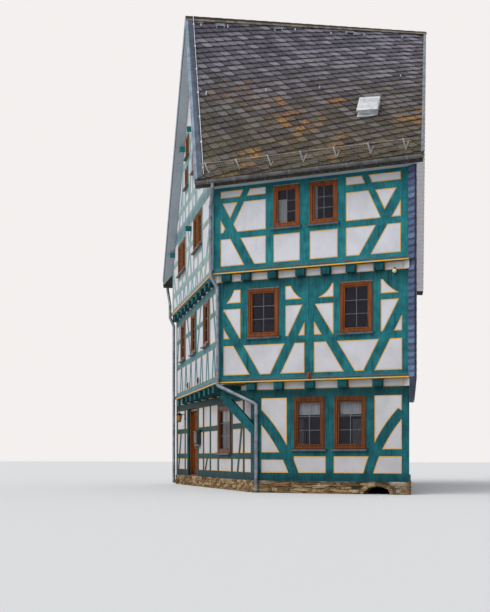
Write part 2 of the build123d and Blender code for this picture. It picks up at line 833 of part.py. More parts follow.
def hinge_half(low, high, way):
    """Half of a butt hinge on the inner face: a knuckle and its strap, to one side of the pin."""
    pin = door_pin()
    knuckle = GROUND.plane(LEFT) * Pos(pin, low, -WALL_DEPTH - HINGE_PIN) * Rot(-90, 0, 0)
    knuckle = knuckle * Cylinder(HINGE_PIN, high - low, align=(Align.CENTER, Align.CENTER, Align.MIN))
    strap = window_hole((min(pin, pin + way * 60), max(pin, pin + way * 60), low, high))
    return knuckle + on_wall(GROUND, LEFT, strap, WALL_DEPTH, WALL_DEPTH + 4)


def door_pin():
    """Where the hinge pin stands along the wall, in the middle of the gap at the rear jamb."""
    return door_edges()[0] + DOOR_JAMB + DOOR_GAP / 2


def door_leaf():
    """A boarded leaf with two sunk panels below a glazed light's frame."""
    left, right = door_edges()
    a, b = left + DOOR_JAMB + DOOR_GAP, right - DOOR_JAMB - DOOR_GAP
    base, top = FLOOR_TOP + DOOR_GAP, DOOR_HEAD - DOOR_JAMB - DOOR_GAP
    face = WALL_DEPTH - DOOR_LEAF
    leaf = on_wall(GROUND, LEFT, window_hole((a, b, base, top)), face, WALL_DEPTH)
    middle = (a + b) / 2
    for low, high in ((base + 130, base + 760), (base + 860, top - 120)):
        for start, end in ((a + 110, middle - 45), (middle + 45, b - 110)):
            leaf = leaf - on_wall(GROUND, LEFT, window_hole((start, end, low, high)), face - 1, face + 14)
    for at in HINGE_HEIGHTS:
        above = at + HINGE_HALF + HINGE_PLAY
        leaf = leaf + hinge_half(above, above + HINGE_HALF, 1)
    return leaf


def door_hinge():
    """A point on the leaf's hinge line, at the rear jamb."""
    return (GROUND.plane(LEFT) * Pos(door_pin(), FLOOR_TOP, -WALL_DEPTH - HINGE_PIN)).position


def corner_bracket():
    """The curved brace and beam that carry the overhanging corner from the ground floor's post."""
    reach = (GROUND.ring(0)[0] - FIRST.ring(JOIST_SETBACK)[0]).length
    start = GROUND.ring(0)[0]
    away = (FIRST.ring(JOIST_SETBACK)[0] - start).normalized()
    side = Plane(origin=start, x_dir=away, z_dir=Vector(away.Y, -away.X, 0))
    knee = curved_brace((-60, 1430), (reach * 0.30, 1790), (reach * 0.80, GROUND_TOP - 200), 200)
    beam = rail(0, reach - 60, GROUND_TOP - 105, 210)
    solid = extrude(side * Pos(0, 0, 140) * (knee + beam), -150)
    for wall in (FRONT, LEFT):
        solid = solid - GROUND.layer(wall, 0, 3000)
    return solid


def purlin_ends(walls):
    """Painted beam ends that stand out of the gable under the verge."""
    ends = []
    places = [(near, gable_level(share)) for near, share in GABLE_PURLINS]
    places += [(near, SECOND_BASE + up) for near, up in WALL_PURLINS]
    for near, at in places:
        place = from_front(SECOND, near)[0]
        end = Pos(place, at) * Rectangle(PURLIN_WIDTH, PURLIN_DEPTH)
        beam = on_wall(SECOND, LEFT, end, -PURLIN_REACH, PANEL_SETBACK)
        for wall in walls:
            beam = beam - wall
        ends.append(beam)
    return ends


def lantern():
    """Wall lantern: back plate, arm, and a tapered glass with its cap."""
    at = from_front(GROUND, LANTERN_FROM_FRONT)[0]
    place = GROUND.plane(LEFT) * Pos(at, LANTERN_HEIGHT, 0)
    plate = extrude(place * Rectangle(90, 200), 14)
    arm = extrude(place * Pos(0, 80) * Rectangle(24, 24), 190)
    up = Pos((place * Pos(0, 0, 180)).position)
    glass = loft([up * Pos(0, 0, -150) * RegularPolygon(55, 6), up * Pos(0, 0, 50) * RegularPolygon(90, 6)])
    cap = loft([up * Pos(0, 0, 50) * RegularPolygon(110, 6), up * Pos(0, 0, 130) * RegularPolygon(20, 6)])
    return plate + arm + glass + cap


def letter_box():
    """Sheet-metal letter box with a sloped lid."""
    at = from_front(GROUND, LETTER_BOX_FROM_FRONT)[0]
    section = Plane(GROUND.plane(LEFT) * Pos(at - 180, LETTER_BOX_HEIGHT, 0))
    profile = make_face(Polyline((0, 0, 0), (0, 0, 130), (0, 330, 150), (0, 400, 0), close=True))
    return extrude(section * profile, 360, dir=section.x_dir)


def snow_guard():
    """A railing that holds snow above the eave: two rails on upright brackets."""
    bars = []
    length = (verge_points(RIGHT)[0] - verge_points(LEFT)[0]).length
    low = roof_place(0.5, SNOW_GUARD_UP)
    for height in (60, SNOW_GUARD_HEIGHT):
        bar = low * Pos(0, 0, height) * Rot(0, 90, 0) * Cylinder(10, length - 500)
        bars.append(bar)
    for share in (0.1, 0.3, 0.5, 0.7, 0.9):
        foot = roof_place(share, SNOW_GUARD_UP)
        at = low.to_local_coords(foot.origin).X
        bars.append(low * Pos(at, 0, SNOW_GUARD_HEIGHT / 2) * Box(8, 34, SNOW_GUARD_HEIGHT + 60))
    guard = bars[0]
    for bar in bars[1:]:
        guard = guard + bar
    return guard


def main():
    os.makedirs("parts", exist_ok=True)
    parts = {}
    under = under_roof(ROOF_THICKNESS, -10)

    # walls on the street sides
    for name, storey, side, members, windows, top in (
        ("ground_front", GROUND, FRONT, ground_front_members(), GROUND_WINDOWS, GROUND_TOP),
        ("first_floor_front", FIRST, FRONT, first_front_members(), FIRST_WINDOWS, FIRST_TOP),
        ("second_floor_front", SECOND, FRONT, second_front_members(), SECOND_WINDOWS, SECOND_TOP + 600),
        ("first_floor_side", FIRST, LEFT, first_side_members(), FIRST_SIDE_WINDOWS, FIRST_TOP),
        ("second_floor_side", SECOND, LEFT, second_side_members(), SECOND_SIDE_WINDOWS, SIDE_TOP),
    ):
        frame = timber_frame(storey, side, members, windows, top=top)
        if storey is not GROUND:
            frame = frame + sill_moulding(storey, side, storey.base)
        parts[name + "_timbers"] = frame & under
        parts[name + "_infill"] = infill(storey, side, members, windows, top=top) & under

    # gable above the second floor
    windows = GABLE_WINDOWS
    frame = timber_frame(SECOND, LEFT, gable_members(), windows, SIDE_TOP, RIDGE_HEIGHT)
    parts["gable_timbers"] = frame & under
    wall = infill(SECOND, LEFT, gable_members(), windows, SIDE_TOP, RIDGE_HEIGHT)
    parts["gable_infill"] = wall & under

    # splayed ground floor wall, in pieces round its doorway
    members = ground_side_members()
    frame = timber_frame(GROUND, LEFT, members, GROUND_SIDE_WINDOWS)
    wall = infill(GROUND, LEFT, members, GROUND_SIDE_WINDOWS)
    for part in ("front", "rear", "over"):
        parts["entrance_wall_timbers_" + part] = beside_door(frame, part)
        parts["entrance_wall_infill_" + part] = beside_door(wall, part)

    parts["rear_timbers"], parts["rear_infill"] = rear_wall(under)
    parts["right_wall"] = right_wall(under)
    parts["right_slate_cladding"] = slate_cladding(under)

    # floors and jetties
    first_ends = joist_ends(GROUND, FIRST, FIRST_JOISTS, FIRST_SIDE_JOISTS)
    second_ends = joist_ends(FIRST, SECOND, SECOND_JOISTS, SECOND_SIDE_JOISTS)
    parts["jetty_beam_ends"] = Compound(first_ends + second_ends)
    first_strips = jetty_strip(GROUND, FIRST, first_ends)
    parts["jetty_infill"] = first_strips + jetty_strip(FIRST, SECOND, second_ends)
    parts["stone_plinth"] = plinth()
    ground_mass = GROUND.room(PLINTH_TOP - 90, PLINTH_TOP, PLINTH_DEPTH)
    parts["ground_floor"] = ground_mass + GROUND.room(PLINTH_TOP, FLOOR_TOP)
    parts["first_floor"] = floor_deck(GROUND, FIRST)
    parts["second_floor"] = floor_deck(FIRST, SECOND)
    parts["attic_floor"] = SECOND.room(ATTIC_FLOOR, ATTIC_FLOOR + 160) & under
    parts["corner_bracket"] = corner_bracket()

    # roof
    parts["front_roof_slope"] = roof_slope(0, 1)
    parts["rear_roof_slope"] = roof_slope(1, 2)
    parts["verge_boards"] = verge_boards(under)
    parts["eaves_soffit"] = eaves_soffit(under)
    parts["gutters"] = Compound(gutters())
    parts["downpipes"] = Compound(downpipes())
    slope = parts["front_roof_slope"]
    parts["roof_hatch"] = roof_hatch() - slope
    parts["snow_guard"] = snow_guard() - slope
    walls = [parts["gable_timbers"], parts["second_floor_side_timbers"]]
    parts["purlin_ends"] = Compound(purlin_ends(walls))

    # windows
    front = [(SECOND, w) for w in SECOND_WINDOWS]
    front += [(FIRST, w) for w in FIRST_WINDOWS] + [(GROUND, w) for w in GROUND_WINDOWS]
    side = [(SECOND, w) for w in SECOND_SIDE_WINDOWS + GABLE_WINDOWS]
    side += [(FIRST, w) for w in FIRST_SIDE_WINDOWS] + [(GROUND, w) for w in GROUND_SIDE_WINDOWS]
    rear = [(s, w) for s in (GROUND, FIRST, SECOND) for w in rear_windows(s)]
    frames, panes = [], []
    for face, windows in ((FRONT, front), (LEFT, side), (REAR, rear)):
        frames += [window_frame(s, face, w) for s, w in windows]
        panes += [window_pane(s, face, w) for s, w in windows]
    parts["window_frames"] = Compound(frames)
    parts["window_glass"] = Compound(panes)

    # entrance
    parts["entrance_door_frame"] = door_frame()
    parts["entrance_door"] = door_leaf()
    parts["wall_lantern"] = lantern()
    parts["letter_box"] = letter_box()

    # the frame's origin lies under the middle of the whole house
    box = Compound(list(parts.values())).bounding_box()
    middle = Vector((box.min.X + box.max.X) / 2, (box.min.Y + box.max.Y) / 2, box.min.Z)
    hinge = door_hinge() - middle
    print("door hinge", round(hinge.X, 2), round(hinge.Y, 2), round(hinge.Z, 2))
    for name, part in parts.items():
        export_step(Pos(-middle) * part, "parts/" + name + ".step")


main()
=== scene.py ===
"""Finishes and fine parts of a half timbered corner house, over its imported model."""

import json
import logging
import math
import random
from contextlib import contextmanager
from dataclasses import dataclass, field
from enum import Enum
from typing import Callable, Iterator, Sequence

import bpy
import numpy as np
from mathutils import Matrix, Vector

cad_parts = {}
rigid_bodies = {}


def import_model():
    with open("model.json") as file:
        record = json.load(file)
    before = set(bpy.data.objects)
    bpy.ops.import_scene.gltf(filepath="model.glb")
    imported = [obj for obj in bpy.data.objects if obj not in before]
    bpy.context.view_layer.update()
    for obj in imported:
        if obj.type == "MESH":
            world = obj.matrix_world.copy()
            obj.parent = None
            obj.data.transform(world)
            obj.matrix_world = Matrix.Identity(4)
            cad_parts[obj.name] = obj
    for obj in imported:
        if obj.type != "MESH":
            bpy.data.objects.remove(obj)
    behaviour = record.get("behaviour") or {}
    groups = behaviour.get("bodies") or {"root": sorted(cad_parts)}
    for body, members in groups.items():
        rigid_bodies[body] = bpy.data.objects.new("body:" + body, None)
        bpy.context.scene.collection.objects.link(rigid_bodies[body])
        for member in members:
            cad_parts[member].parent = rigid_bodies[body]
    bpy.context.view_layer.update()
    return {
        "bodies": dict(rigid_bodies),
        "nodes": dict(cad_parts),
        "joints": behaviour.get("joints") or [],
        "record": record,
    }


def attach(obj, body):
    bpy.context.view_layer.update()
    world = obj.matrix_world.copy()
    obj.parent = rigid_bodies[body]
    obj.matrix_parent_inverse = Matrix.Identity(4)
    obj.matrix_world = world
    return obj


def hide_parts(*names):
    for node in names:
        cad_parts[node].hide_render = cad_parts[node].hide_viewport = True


log = logging.getLogger("house")

Piece = bpy.types.Object
Socket = bpy.types.NodeSocket
Numbers = Sequence[float]
Colour = tuple[float, float, float, float]
Stops = Sequence[tuple[float, Colour]]
Place = tuple[int, Matrix]
UP = Vector((0, 0, 1))


def paint(code: str) -> Colour:
    """Turn a screen colour into a linear one.

    Args:
        code: Six hexadecimal digits.

    Returns:
        The linear red, green, blue and alpha.
    """
    shares = [int(code[i : i + 2], 16) / 255 for i in (0, 2, 4)]
    linear = [s / 12.92 if s <= 0.04045 else ((s + 0.055) / 1.055) ** 2.4 for s in shares]
    return linear[0], linear[1], linear[2], 1.0


class Side(Enum):
    """The four faces of the house, in the order in which its corners run."""

    FRONT = 0
    RIGHT = 1
    REAR = 2
    LEFT = 3


class Level(Enum):
    """The storeys."""

    GROUND = "ground"
    FIRST = "first"
    SECOND = "second"


# outer corners of each storey: front left, front right, rear right and rear left
CORNERS: dict[Level, list[tuple[float, float]]] = {
    Level.GROUND: [(0.990, -5.567), (4.887, -5.567), (1.411, 5.510), (-4.803, 0.912)],
    Level.FIRST: [(0.065, -5.667), (4.919, -5.667), (1.411, 5.510), (-4.803, 0.912)],
    Level.SECOND: [(-0.010, -5.767), (4.950, -5.767), (1.411, 5.510), (-4.899, 0.841)],
}
LEFT_VERGE = [Vector((-0.317, -6.117, 7.55)), Vector((-2.066, -3.408, 12.75)), Vector((-5.309, 0.974, 6.45))]
RIGHT_VERGE = [Vector((5.374, -6.117, 7.55)), Vector((3.563, 0.123, 12.6)), Vector((1.674, 6.141, 6.45))]


@dataclass(frozen=True)
class Slope:
    """One twisted roof slope between its eave and the ridge."""

    low_left: Vector
    low_right: Vector
    high_left: Vector
    high_right: Vector

    def at(self, across: float, up: float) -> Vector:
        """The point at shares of the width and of the height.

        Args:
            across: The share of the width.
            up: The share of the height.

        Returns:
            The point.
        """
        low = self.low_left.lerp(self.low_right, across)
        high = self.high_left.lerp(self.high_right, across)
        return low.lerp(high, up)

    def frame(self, across: float, up: float) -> Matrix:
        """The place there: X along the course, Y up the slope, Z outwards.

        Args:
            across: The share of the width.
            up: The share of the height.

        Returns:
            The place.
        """
        along = (self.at(across + 0.01, up) - self.at(across - 0.01, up)).normalized()
        rise = self.at(across, up + 0.01) - self.at(across, up - 0.01)
        normal = along.cross(rise).normalized()
        return stand(self.at(across, up), along, normal.cross(along), normal)

    def width(self, up: float) -> float:
        """The length of the course at a height."""
        return (self.at(1, up) - self.at(0, up)).length

    def rise(self) -> float:
        """The slope's mean length from eave to ridge."""
        return (self.at(0.5, 1) - self.at(0.5, 0)).length


FRONT_SLOPE = Slope(LEFT_VERGE[0], RIGHT_VERGE[0], LEFT_VERGE[1], RIGHT_VERGE[1])
REAR_SLOPE = Slope(RIGHT_VERGE[2], LEFT_VERGE[2], RIGHT_VERGE[1], LEFT_VERGE[1])

# where lichen grows: the middle of each patch, and its reach
PATCHES = [
    (FRONT_SLOPE.at(0.46, 0.27), 0.95),
    (FRONT_SLOPE.at(0.98, 0.26), 0.80),
    (FRONT_SLOPE.at(0.25, 0.09), 0.50),
    (FRONT_SLOPE.at(0.64, 0.40), 0.40),
    (FRONT_SLOPE.at(0.37, 0.42), 0.45),
]


def stand(at: Vector, x: Vector, y: Vector, z: Vector) -> Matrix:
    """The place of a piece whose own axes point in three given directions."""
    return Matrix.Translation(at) @ Matrix((x, y, z)).transposed().to_4x4()


def turned(axis: str, angle: float) -> Matrix:
    """A turn about one of the axes."""
    return Matrix.Rotation(angle, 4, axis)


def moved(x: float, y: float, z: float) -> Matrix:
    """A move by three measures."""
    return Matrix.Translation((x, y, z))


def sized(x: float, y: float, z: float = 1) -> Matrix:
    """A scaling along the three axes."""
    return Matrix.Diagonal((x, y, z, 1))


def away(start: Vector, end: Vector, inside: Vector) -> Vector:
    """The level direction square to a line, away from a point.

    Args:
        start: A point on the line.
        end: Another point on it.
        inside: The point.

    Returns:
        The direction, a unit long.
    """
    along = (end - start).normalized()
    out = Vector((along.y, -along.x, 0)).normalized()
    return -out if out.dot(inside - start) > 0 else out


@dataclass(frozen=True)
class Wall:
    """One wall face in plan, from its left end to its right end as seen from outside."""

    start: Vector
    end: Vector

    @property
    def length(self) -> float:
        """The wall's length in metres."""
        return (self.end - self.start).length

    @property
    def outward(self) -> Vector:
        """The direction that the wall faces."""
        along = (self.end - self.start).normalized()
        return Vector((along.y, -along.x, 0))

    def frame(self) -> Matrix:
        """The place of the wall: X along it, Y into the house, Z up."""
        along = (self.end - self.start).normalized()
        return stand(self.start, along, -self.outward, UP)


def wall(level: Level, side: Side) -> Wall:
    """Find a wall of the house.

    Args:
        level: Its storey.
        side: The face that it is on.

    Returns:
        The wall's outer face.
    """
    corners = CORNERS[level]
    start, end = corners[side.value], corners[(side.value + 1) % 4]
    return Wall(Vector((*start, 0)), Vector((*end, 0)))


@dataclass(frozen=True)
class Opening:
    """A window in a wall, by its outer edges in metres."""

    level: Level
    side: Side
    left: float
    right: float
    base: float
    top: float


def row(level: Level, side: Side, base: float, top: float, *spans: tuple[float, float]) -> list[Opening]:
    """List windows that share their heights.

    Args:
        level: Their storey.
        side: Their face of the house.
        base: The lower edge.
        top: The upper edge.
        spans: The left and right edge of each.

    Returns:
        One opening for each span.
    """
    return [Opening(level, side, left, right, base, top) for left, right in spans]


STOREY_BASE = {Level.FIRST: 2.65, Level.SECOND: 5.29}
NET_SHARE = {Level.GROUND: 0.30, Level.SECOND: 0.40, Level.FIRST: 0.34}

WINDOWS: list[Opening] = [
    *row(Level.GROUND, Side.FRONT, 1.04, 2.25, (1.05, 1.84), (2.085, 2.865)),
    *row(Level.FIRST, Side.FRONT, 3.73, 4.90, (0.815, 1.63), (3.19, 3.975)),
    *row(Level.SECOND, Side.FRONT, 6.29, 7.285, (1.61, 2.29), (2.54, 3.24)),
    *row(Level.GROUND, Side.LEFT, 0.96, 2.20, (5.341, 6.591)),
    *row(Level.FIRST, Side.LEFT, 3.76, 4.90, (5.864, 6.784), (3.484, 4.384), (1.184, 2.084)),
    *row(Level.SECOND, Side.LEFT, 6.42, 7.37, (5.66, 6.32), (4.84, 5.50)),
    *row(Level.SECOND, Side.LEFT, 6.31, 7.23, (2.39, 3.07), (1.53, 2.21)),
    *row(Level.SECOND, Side.LEFT, 8.65, 9.379, (4.67, 5.27)),
    *row(Level.SECOND, Side.LEFT, 8.578, 9.152, (3.09, 3.69)),
    *row(Level.SECOND, Side.LEFT, 9.41, 10.01, (3.27, 3.87)),
    *row(Level.GROUND, Side.REAR, 1.04, 2.20, (1.265, 2.065), (3.465, 4.265), (5.665, 6.465)),
    *row(Level.FIRST, Side.REAR, 3.73, 4.85, (1.265, 2.065), (3.465, 4.265), (5.665, 6.465)),
    *row(Level.SECOND, Side.REAR, 5.80, 6.279, (1.325, 2.125), (3.525, 4.325), (5.725, 6.525)),
]


# finishes


class Wiring:
    """A node tree, wired one node after another."""

    def __init__(self, tree: bpy.types.NodeTree) -> None:
        """Empty the tree."""
        self.tree = tree
        tree.nodes.clear()

    def node(
        self, kind: str, inputs: dict[str | int, object] | None = None, **settings: object
    ) -> bpy.types.Node:
        """Add a node, set its properties and feed its sockets.

        Args:
            kind: Its type.
            inputs: Values or links by socket.
            settings: Values by property.

        Returns:
            The node.
        """
        made = self.tree.nodes.new(kind)
        for key, value in settings.items():
            setattr(made, key, value)
        for key, value in (inputs or {}).items():
            if isinstance(value, Socket):
                self.tree.links.new(value, made.inputs[key])
            else:
                made.inputs[key].default_value = value
        return made

    def reckon(self, operation: str, a: object, b: object) -> Socket:
        """Join two numbers by an operation."""
        return self.node("ShaderNodeMath", {0: a, 1: b}, operation=operation).outputs[0]


class Shader(Wiring):
    """A material's nodes, on object coordinates."""

    def __init__(self, name: str) -> None:
        """Start an empty material.

        Args:
            name: Its name.
        """
        self.material = bpy.data.materials.new(name)
        self.material.use_nodes = True
        super().__init__(self.material.node_tree)
        self.place = self.node("ShaderNodeTexCoord").outputs["Object"]

    def stretched(self, scale: Numbers) -> Socket:
        """Scale the coordinates."""
        return self.node("ShaderNodeMapping", {"Vector": self.place, "Scale": scale}).outputs["Vector"]

    def noise(
        self, scale: float, detail: float = 4, rough: float = 0.55, vector: Socket | None = None
    ) -> Socket:
        """Cloudy variation between 0 and 1.

        Args:
            scale: How many features fit in a metre.
            detail: How many finer layers are added.
            rough: The strength of the finer layers.
            vector: Coordinates other than the plain ones.

        Returns:
            The noise.
        """
        values = {"Vector": vector or self.place, "Scale": scale, "Detail": detail, "Roughness": rough}
        return self.node("ShaderNodeTexNoise", values).outputs["Fac"]

    def streaks(self, scale: Numbers, detail: float, rough: float) -> Socket:
        """Variation drawn out along an axis, by its features in a metre along each."""
        return self.noise(1.0, detail, rough, self.stretched(scale))

    def cells(self, scale: float) -> Socket:
        """Cell pattern, as of stones or flakes."""
        values = {"Vector": self.place, "Scale": scale}
        return self.node("ShaderNodeTexVoronoi", values, feature="F1").outputs["Distance"]

    def tone(self, name: str = "tone") -> Socket:
        """A value that each copy in a field of like pieces carries."""
        return self.node("ShaderNodeAttribute", attribute_name=name).outputs["Fac"]

    def height(self, axis: str = "Z") -> Socket:
        """Metres above the ground, or along another axis."""
        return self.node("ShaderNodeSeparateXYZ", {0: self.place}).outputs[axis]

    def between(self, value: Socket, low: float, high: float) -> Socket:
        """Stretch a range to 0 to 1, smoothly and clamped.

        Args:
            value: The value.
            low: What gives 0.
            high: What gives 1.

        Returns:
            The share.
        """
        values = {"Value": value, "From Min": low, "From Max": high}
        made = self.node("ShaderNodeMapRange", values, interpolation_type="SMOOTHSTEP", clamp=True)
        return made.outputs["Result"]

    def near(self, middle: Numbers, reach: float) -> Socket:
        """How near a point of the object is, 1 at it and 0 past a reach.

        Args:
            middle: The point.
            reach: The reach in metres.

        Returns:
            The share.
        """
        ends = {0: self.place, 1: tuple(middle)}
        offset = self.node("ShaderNodeVectorMath", ends, operation="DISTANCE")
        return self.between(offset.outputs["Value"], reach, reach * 0.35)

    def times(self, a: object, b: object) -> Socket:
        """Multiply two numbers."""
        return self.reckon("MULTIPLY", a, b)

    def plus(self, a: object, b: object) -> Socket:
        """Add two numbers."""
        return self.reckon("ADD", a, b)

    def blend(self, share: object, a: object, b: object, mode: str = "MIX") -> Socket:
        """Mix two colours by a share.

        Args:
            share: The share of the second.
            a: The first colour.
            b: The second colour.
            mode: How they mix.

        Returns:
            The colour.
        """
        values = {"Factor": share, "A": a, "B": b}
        made = self.node("ShaderNodeMix", values, data_type="RGBA", blend_type=mode)
        return made.outputs["Result"]

    def wash(self, colour: Socket, share: object, code: str) -> Socket:
        """Lay a plain colour over another by a share."""
        return self.blend(share, colour, paint(code))

    def ramp(self, value: Socket, stops: Stops) -> Socket:
        """Colours along a value.

        Args:
            value: The value.
            stops: The colours and their places.

        Returns:
            The colour.
        """
        made = self.node("ShaderNodeValToRGB", {0: value})
        elements = made.color_ramp.elements
        while len(elements) < len(stops):
            elements.new(0.5)
        for element, (at, colour) in zip(elements, stops):
            element.position = at
            element.color = colour
        return made.outputs[0]

    def toned(self, tones: Sequence[str]) -> Socket:
        """Three tones, evenly over the copies in a field of like pieces."""
        return self.ramp(self.tone(), [(i / 2, paint(t)) for i, t in enumerate(tones)])

    def shaded(self, colour: Socket) -> Socket:
        """Darken a colour under the jetties and the eave."""
        share = self.reckon("DIVIDE", self.height(), SHADE_TOP)
        return self.blend(1.0, colour, self.ramp(share, SHADE), "MULTIPLY")

    def bump(self, height: Socket, distance: float, below: Socket | None = None) -> Socket:
        """Raise the surface by a height pattern, in metres.

        Args:
            height: The pattern.
            distance: Its depth.
            below: A relief under it.

        Returns:
            The normal.
        """
        values = {"Strength": 1.0, "Distance": distance, "Height": height}
        if below is not None:
            values["Normal"] = below
        return self.node("ShaderNodeBump", values).outputs["Normal"]

    def finish(self, **sockets: object) -> bpy.types.Material:
        """Close the material with a principled shader.

        Args:
            sockets: Values or links by socket name, with spaces written as underlines.

        Returns:
            The finished material.
        """
        values = {key.replace("_", " "): value for key, value in sockets.items()}
        shader = self.node("ShaderNodeBsdfPrincipled", values)
        self.node("ShaderNodeOutputMaterial", {0: shader.outputs[0]})
        return self.material


# how light and shadow follow each other up the walls, as shares of the height SHADE_TOP
SHADE_TOP = 8.0
SHADE: Stops = [
    (0.04, paint("8E9EA2")),
    (0.08, paint("C6CED0")),
    (0.26, paint("C6CED0")),
    (0.30, paint("80908F")),
    (0.35, paint("E6EAEA")),
    (0.59, paint("F2F4F4")),
    (0.64, paint("98A2A4")),
    (0.68, paint("FFFFFF")),
    (0.88, paint("FFFFFF")),
    (0.94, paint("B8C2C4")),
    (0.97, paint("FFFFFF")),
]


@dataclass(frozen=True)
class TimberPaint:
    """Brushed oil paint on hewn oak, with grain and shrinkage cracks showing through."""

    name: str
    light: str
    deep: str
    worn: str
    wear: float = 0.35

    def dress(self) -> bpy.types.Material:
        """Build the paint.

        Returns:
            The material.
        """
        s = Shader(self.name)
        grain = s.streaks((26, 26, 2.2), 7, 0.62)
        brush = s.noise(3.2, 5, 0.6)
        fine = s.noise(60, 3, 0.7)
        colour = s.ramp(brush, [(0.30, paint(self.deep)), (0.68, paint(self.light))])
        streak = s.between(grain, 0.38, 0.62)
        colour = s.blend(s.times(streak, 0.30), colour, paint(self.deep), "MULTIPLY")
        bare = s.between(s.noise(5.5, 8, 0.7), 0.60, 0.74)
        colour = s.wash(colour, s.times(bare, self.wear), self.worn)
        crack = s.between(s.streaks((34, 34, 1.1), 2, 0.4), 0.30, 0.34)
        colour = s.wash(colour, s.times(s.reckon("SUBTRACT", 1.0, crack), 0.6), "0C2A2E")
        relief = s.bump(s.plus(s.times(grain, 0.8), s.times(fine, 0.2)), 0.006)
        relief = s.bump(crack, 0.004, relief)
        colour = s.shaded(colour)
        return s.finish(Base_Color=colour, Roughness=0.6, Specular_IOR_Level=0.12, Normal=relief)


@dataclass(frozen=True)
class Plaster:
    """Trowelled lime plaster, limewashed, with faint stains and painted shade that darkens it towards the
    ground.
    """

    name: str
    clean: str = "D2D1D6"
    stain: str = "B4B0AB"

    def dress(self) -> bpy.types.Material:
        """Build the plaster.

        Returns:
            The material.
        """
        s = Shader(self.name)
        cloud = s.noise(1.7, 6, 0.6)
        drip = s.streaks((9, 9, 1.2), 5, 0.6)
        colour = s.blend(s.between(cloud, 0.35, 0.75), paint(self.clean), paint("C3C2C6"))
        colour = s.wash(colour, s.times(s.between(drip, 0.55, 0.8), 0.5), self.stain)
        grit = s.noise(85, 6, 0.7)
        wave = s.noise(6, 3, 0.5)
        relief = s.bump(s.plus(s.times(grit, 0.25), wave), 0.005)
        # painted shade: the plaster darkens towards the ground
        low_wall_shade = s.ramp(s.between(s.height(), 0.2, 5.4), [(0.0, paint("E6E3DF")), (1.0, paint("FFFFFF"))])
        colour = s.blend(1.0, colour, low_wall_shade, "MULTIPLY")
        return s.finish(Base_Color=colour, Roughness=0.9, Specular_IOR_Level=0.15, Normal=relief)


@dataclass(frozen=True)
class Slate:
    """Split slates in many tones, with moss and painted shade in their laps and lichen in patches."""

    name: str
    tones: tuple[str, str, str]
    low_tones: tuple[str, str, str]
    moss: float
    lichen: float
    # strength of the painted shade and moss laid in the laps under each slate's tail
    lap: float = 0.9

    def dress(self) -> bpy.types.Material:
        """Build the slate.

        Returns:
            The material.
        """
        s = Shader(self.name)
        upper = s.toned(self.tones)
        lower = s.toned(self.low_tones)
        colour = s.blend(s.between(s.height(), 7.4, 12.2), lower, upper)
        flake = s.noise(38, 6, 0.65)
        colour = s.wash(colour, s.times(s.between(flake, 0.46, 0.64), 0.45), "8A858C")
        pits = s.between(s.noise(21, 5, 0.65), 0.53, 0.66)
        colour = s.wash(colour, s.times(pits, 0.5), "2A262A")
        low = s.between(s.height(), 11.4, 8.0)
        patch = s.times(s.between(s.noise(0.85, 3, 0.5), 0.54, 0.66), low)
        for middle, reach in PATCHES:
            patch = s.reckon("MAXIMUM", patch, s.near(middle, reach))
        rough = s.between(s.noise(11, 5, 0.65), 0.36, 0.54)
        chosen = s.times(s.times(patch, rough), s.between(s.tone("spot"), 0.20, 0.70))
        rusty = s.ramp(s.noise(24, 4, 0.6), [(0.35, paint("744E2C")), (0.62, paint("BC8648"))])
        colour = s.blend(s.times(chosen, self.lichen), colour, rusty)
        damp = s.times(s.between(s.noise(1.6, 6, 0.65), 0.34, 0.58), s.between(s.height(), 12.6, 7.8))
        tuft = s.times(damp, s.between(s.noise(34, 5, 0.6), 0.42, 0.62))
        colour = s.wash(colour, s.times(tuft, self.moss * 0.5), "5A5424")
        dot = s.between(s.cells(26), 0.12, 0.07)
        dot = s.times(dot, s.between(s.noise(2.4), 0.56, 0.66))
        colour = s.wash(colour, s.times(dot, 0.7), "B9B7AE")
        # painted shade under each slate's tail: near black where dry, moss green where damp
        lap = s.between(s.plus(s.tone("fall"), s.times(s.noise(9, 4, 0.6), 0.12)), 0.42, 0.57)
        moss_and_lap_shade = s.blend(s.times(damp, self.moss), paint("121012"), paint("464010"))
        colour = s.blend(s.times(lap, self.lap), colour, moss_and_lap_shade)
        relief = s.bump(flake, 0.004)
        return s.finish(Base_Color=colour, Roughness=0.7, Specular_IOR_Level=0.2, Normal=relief)


@dataclass(frozen=True)
class Stone:
    """Quarry stones in ochre and brown, each with its own tone."""

    name: str
    tones: tuple[str, str, str]

    def dress(self) -> bpy.types.Material:
        """Build the stone.

        Returns:
            The material.
        """
        s = Shader(self.name)
        colour = s.toned(self.tones)
        vein = s.streaks((14, 14, 30), 6, 0.65)
        colour = s.wash(colour, s.times(s.between(vein, 0.4, 0.7), 0.55), "4A3826")
        pale = s.between(s.noise(17, 5, 0.6), 0.58, 0.72)
        colour = s.wash(colour, s.times(pale, 0.45), "B7A283")
        relief = s.bump(s.plus(vein, s.noise(50, 5, 0.7)), 0.008)
        return s.finish(Base_Color=colour, Roughness=0.92, Specular_IOR_Level=0.2, Normal=relief)


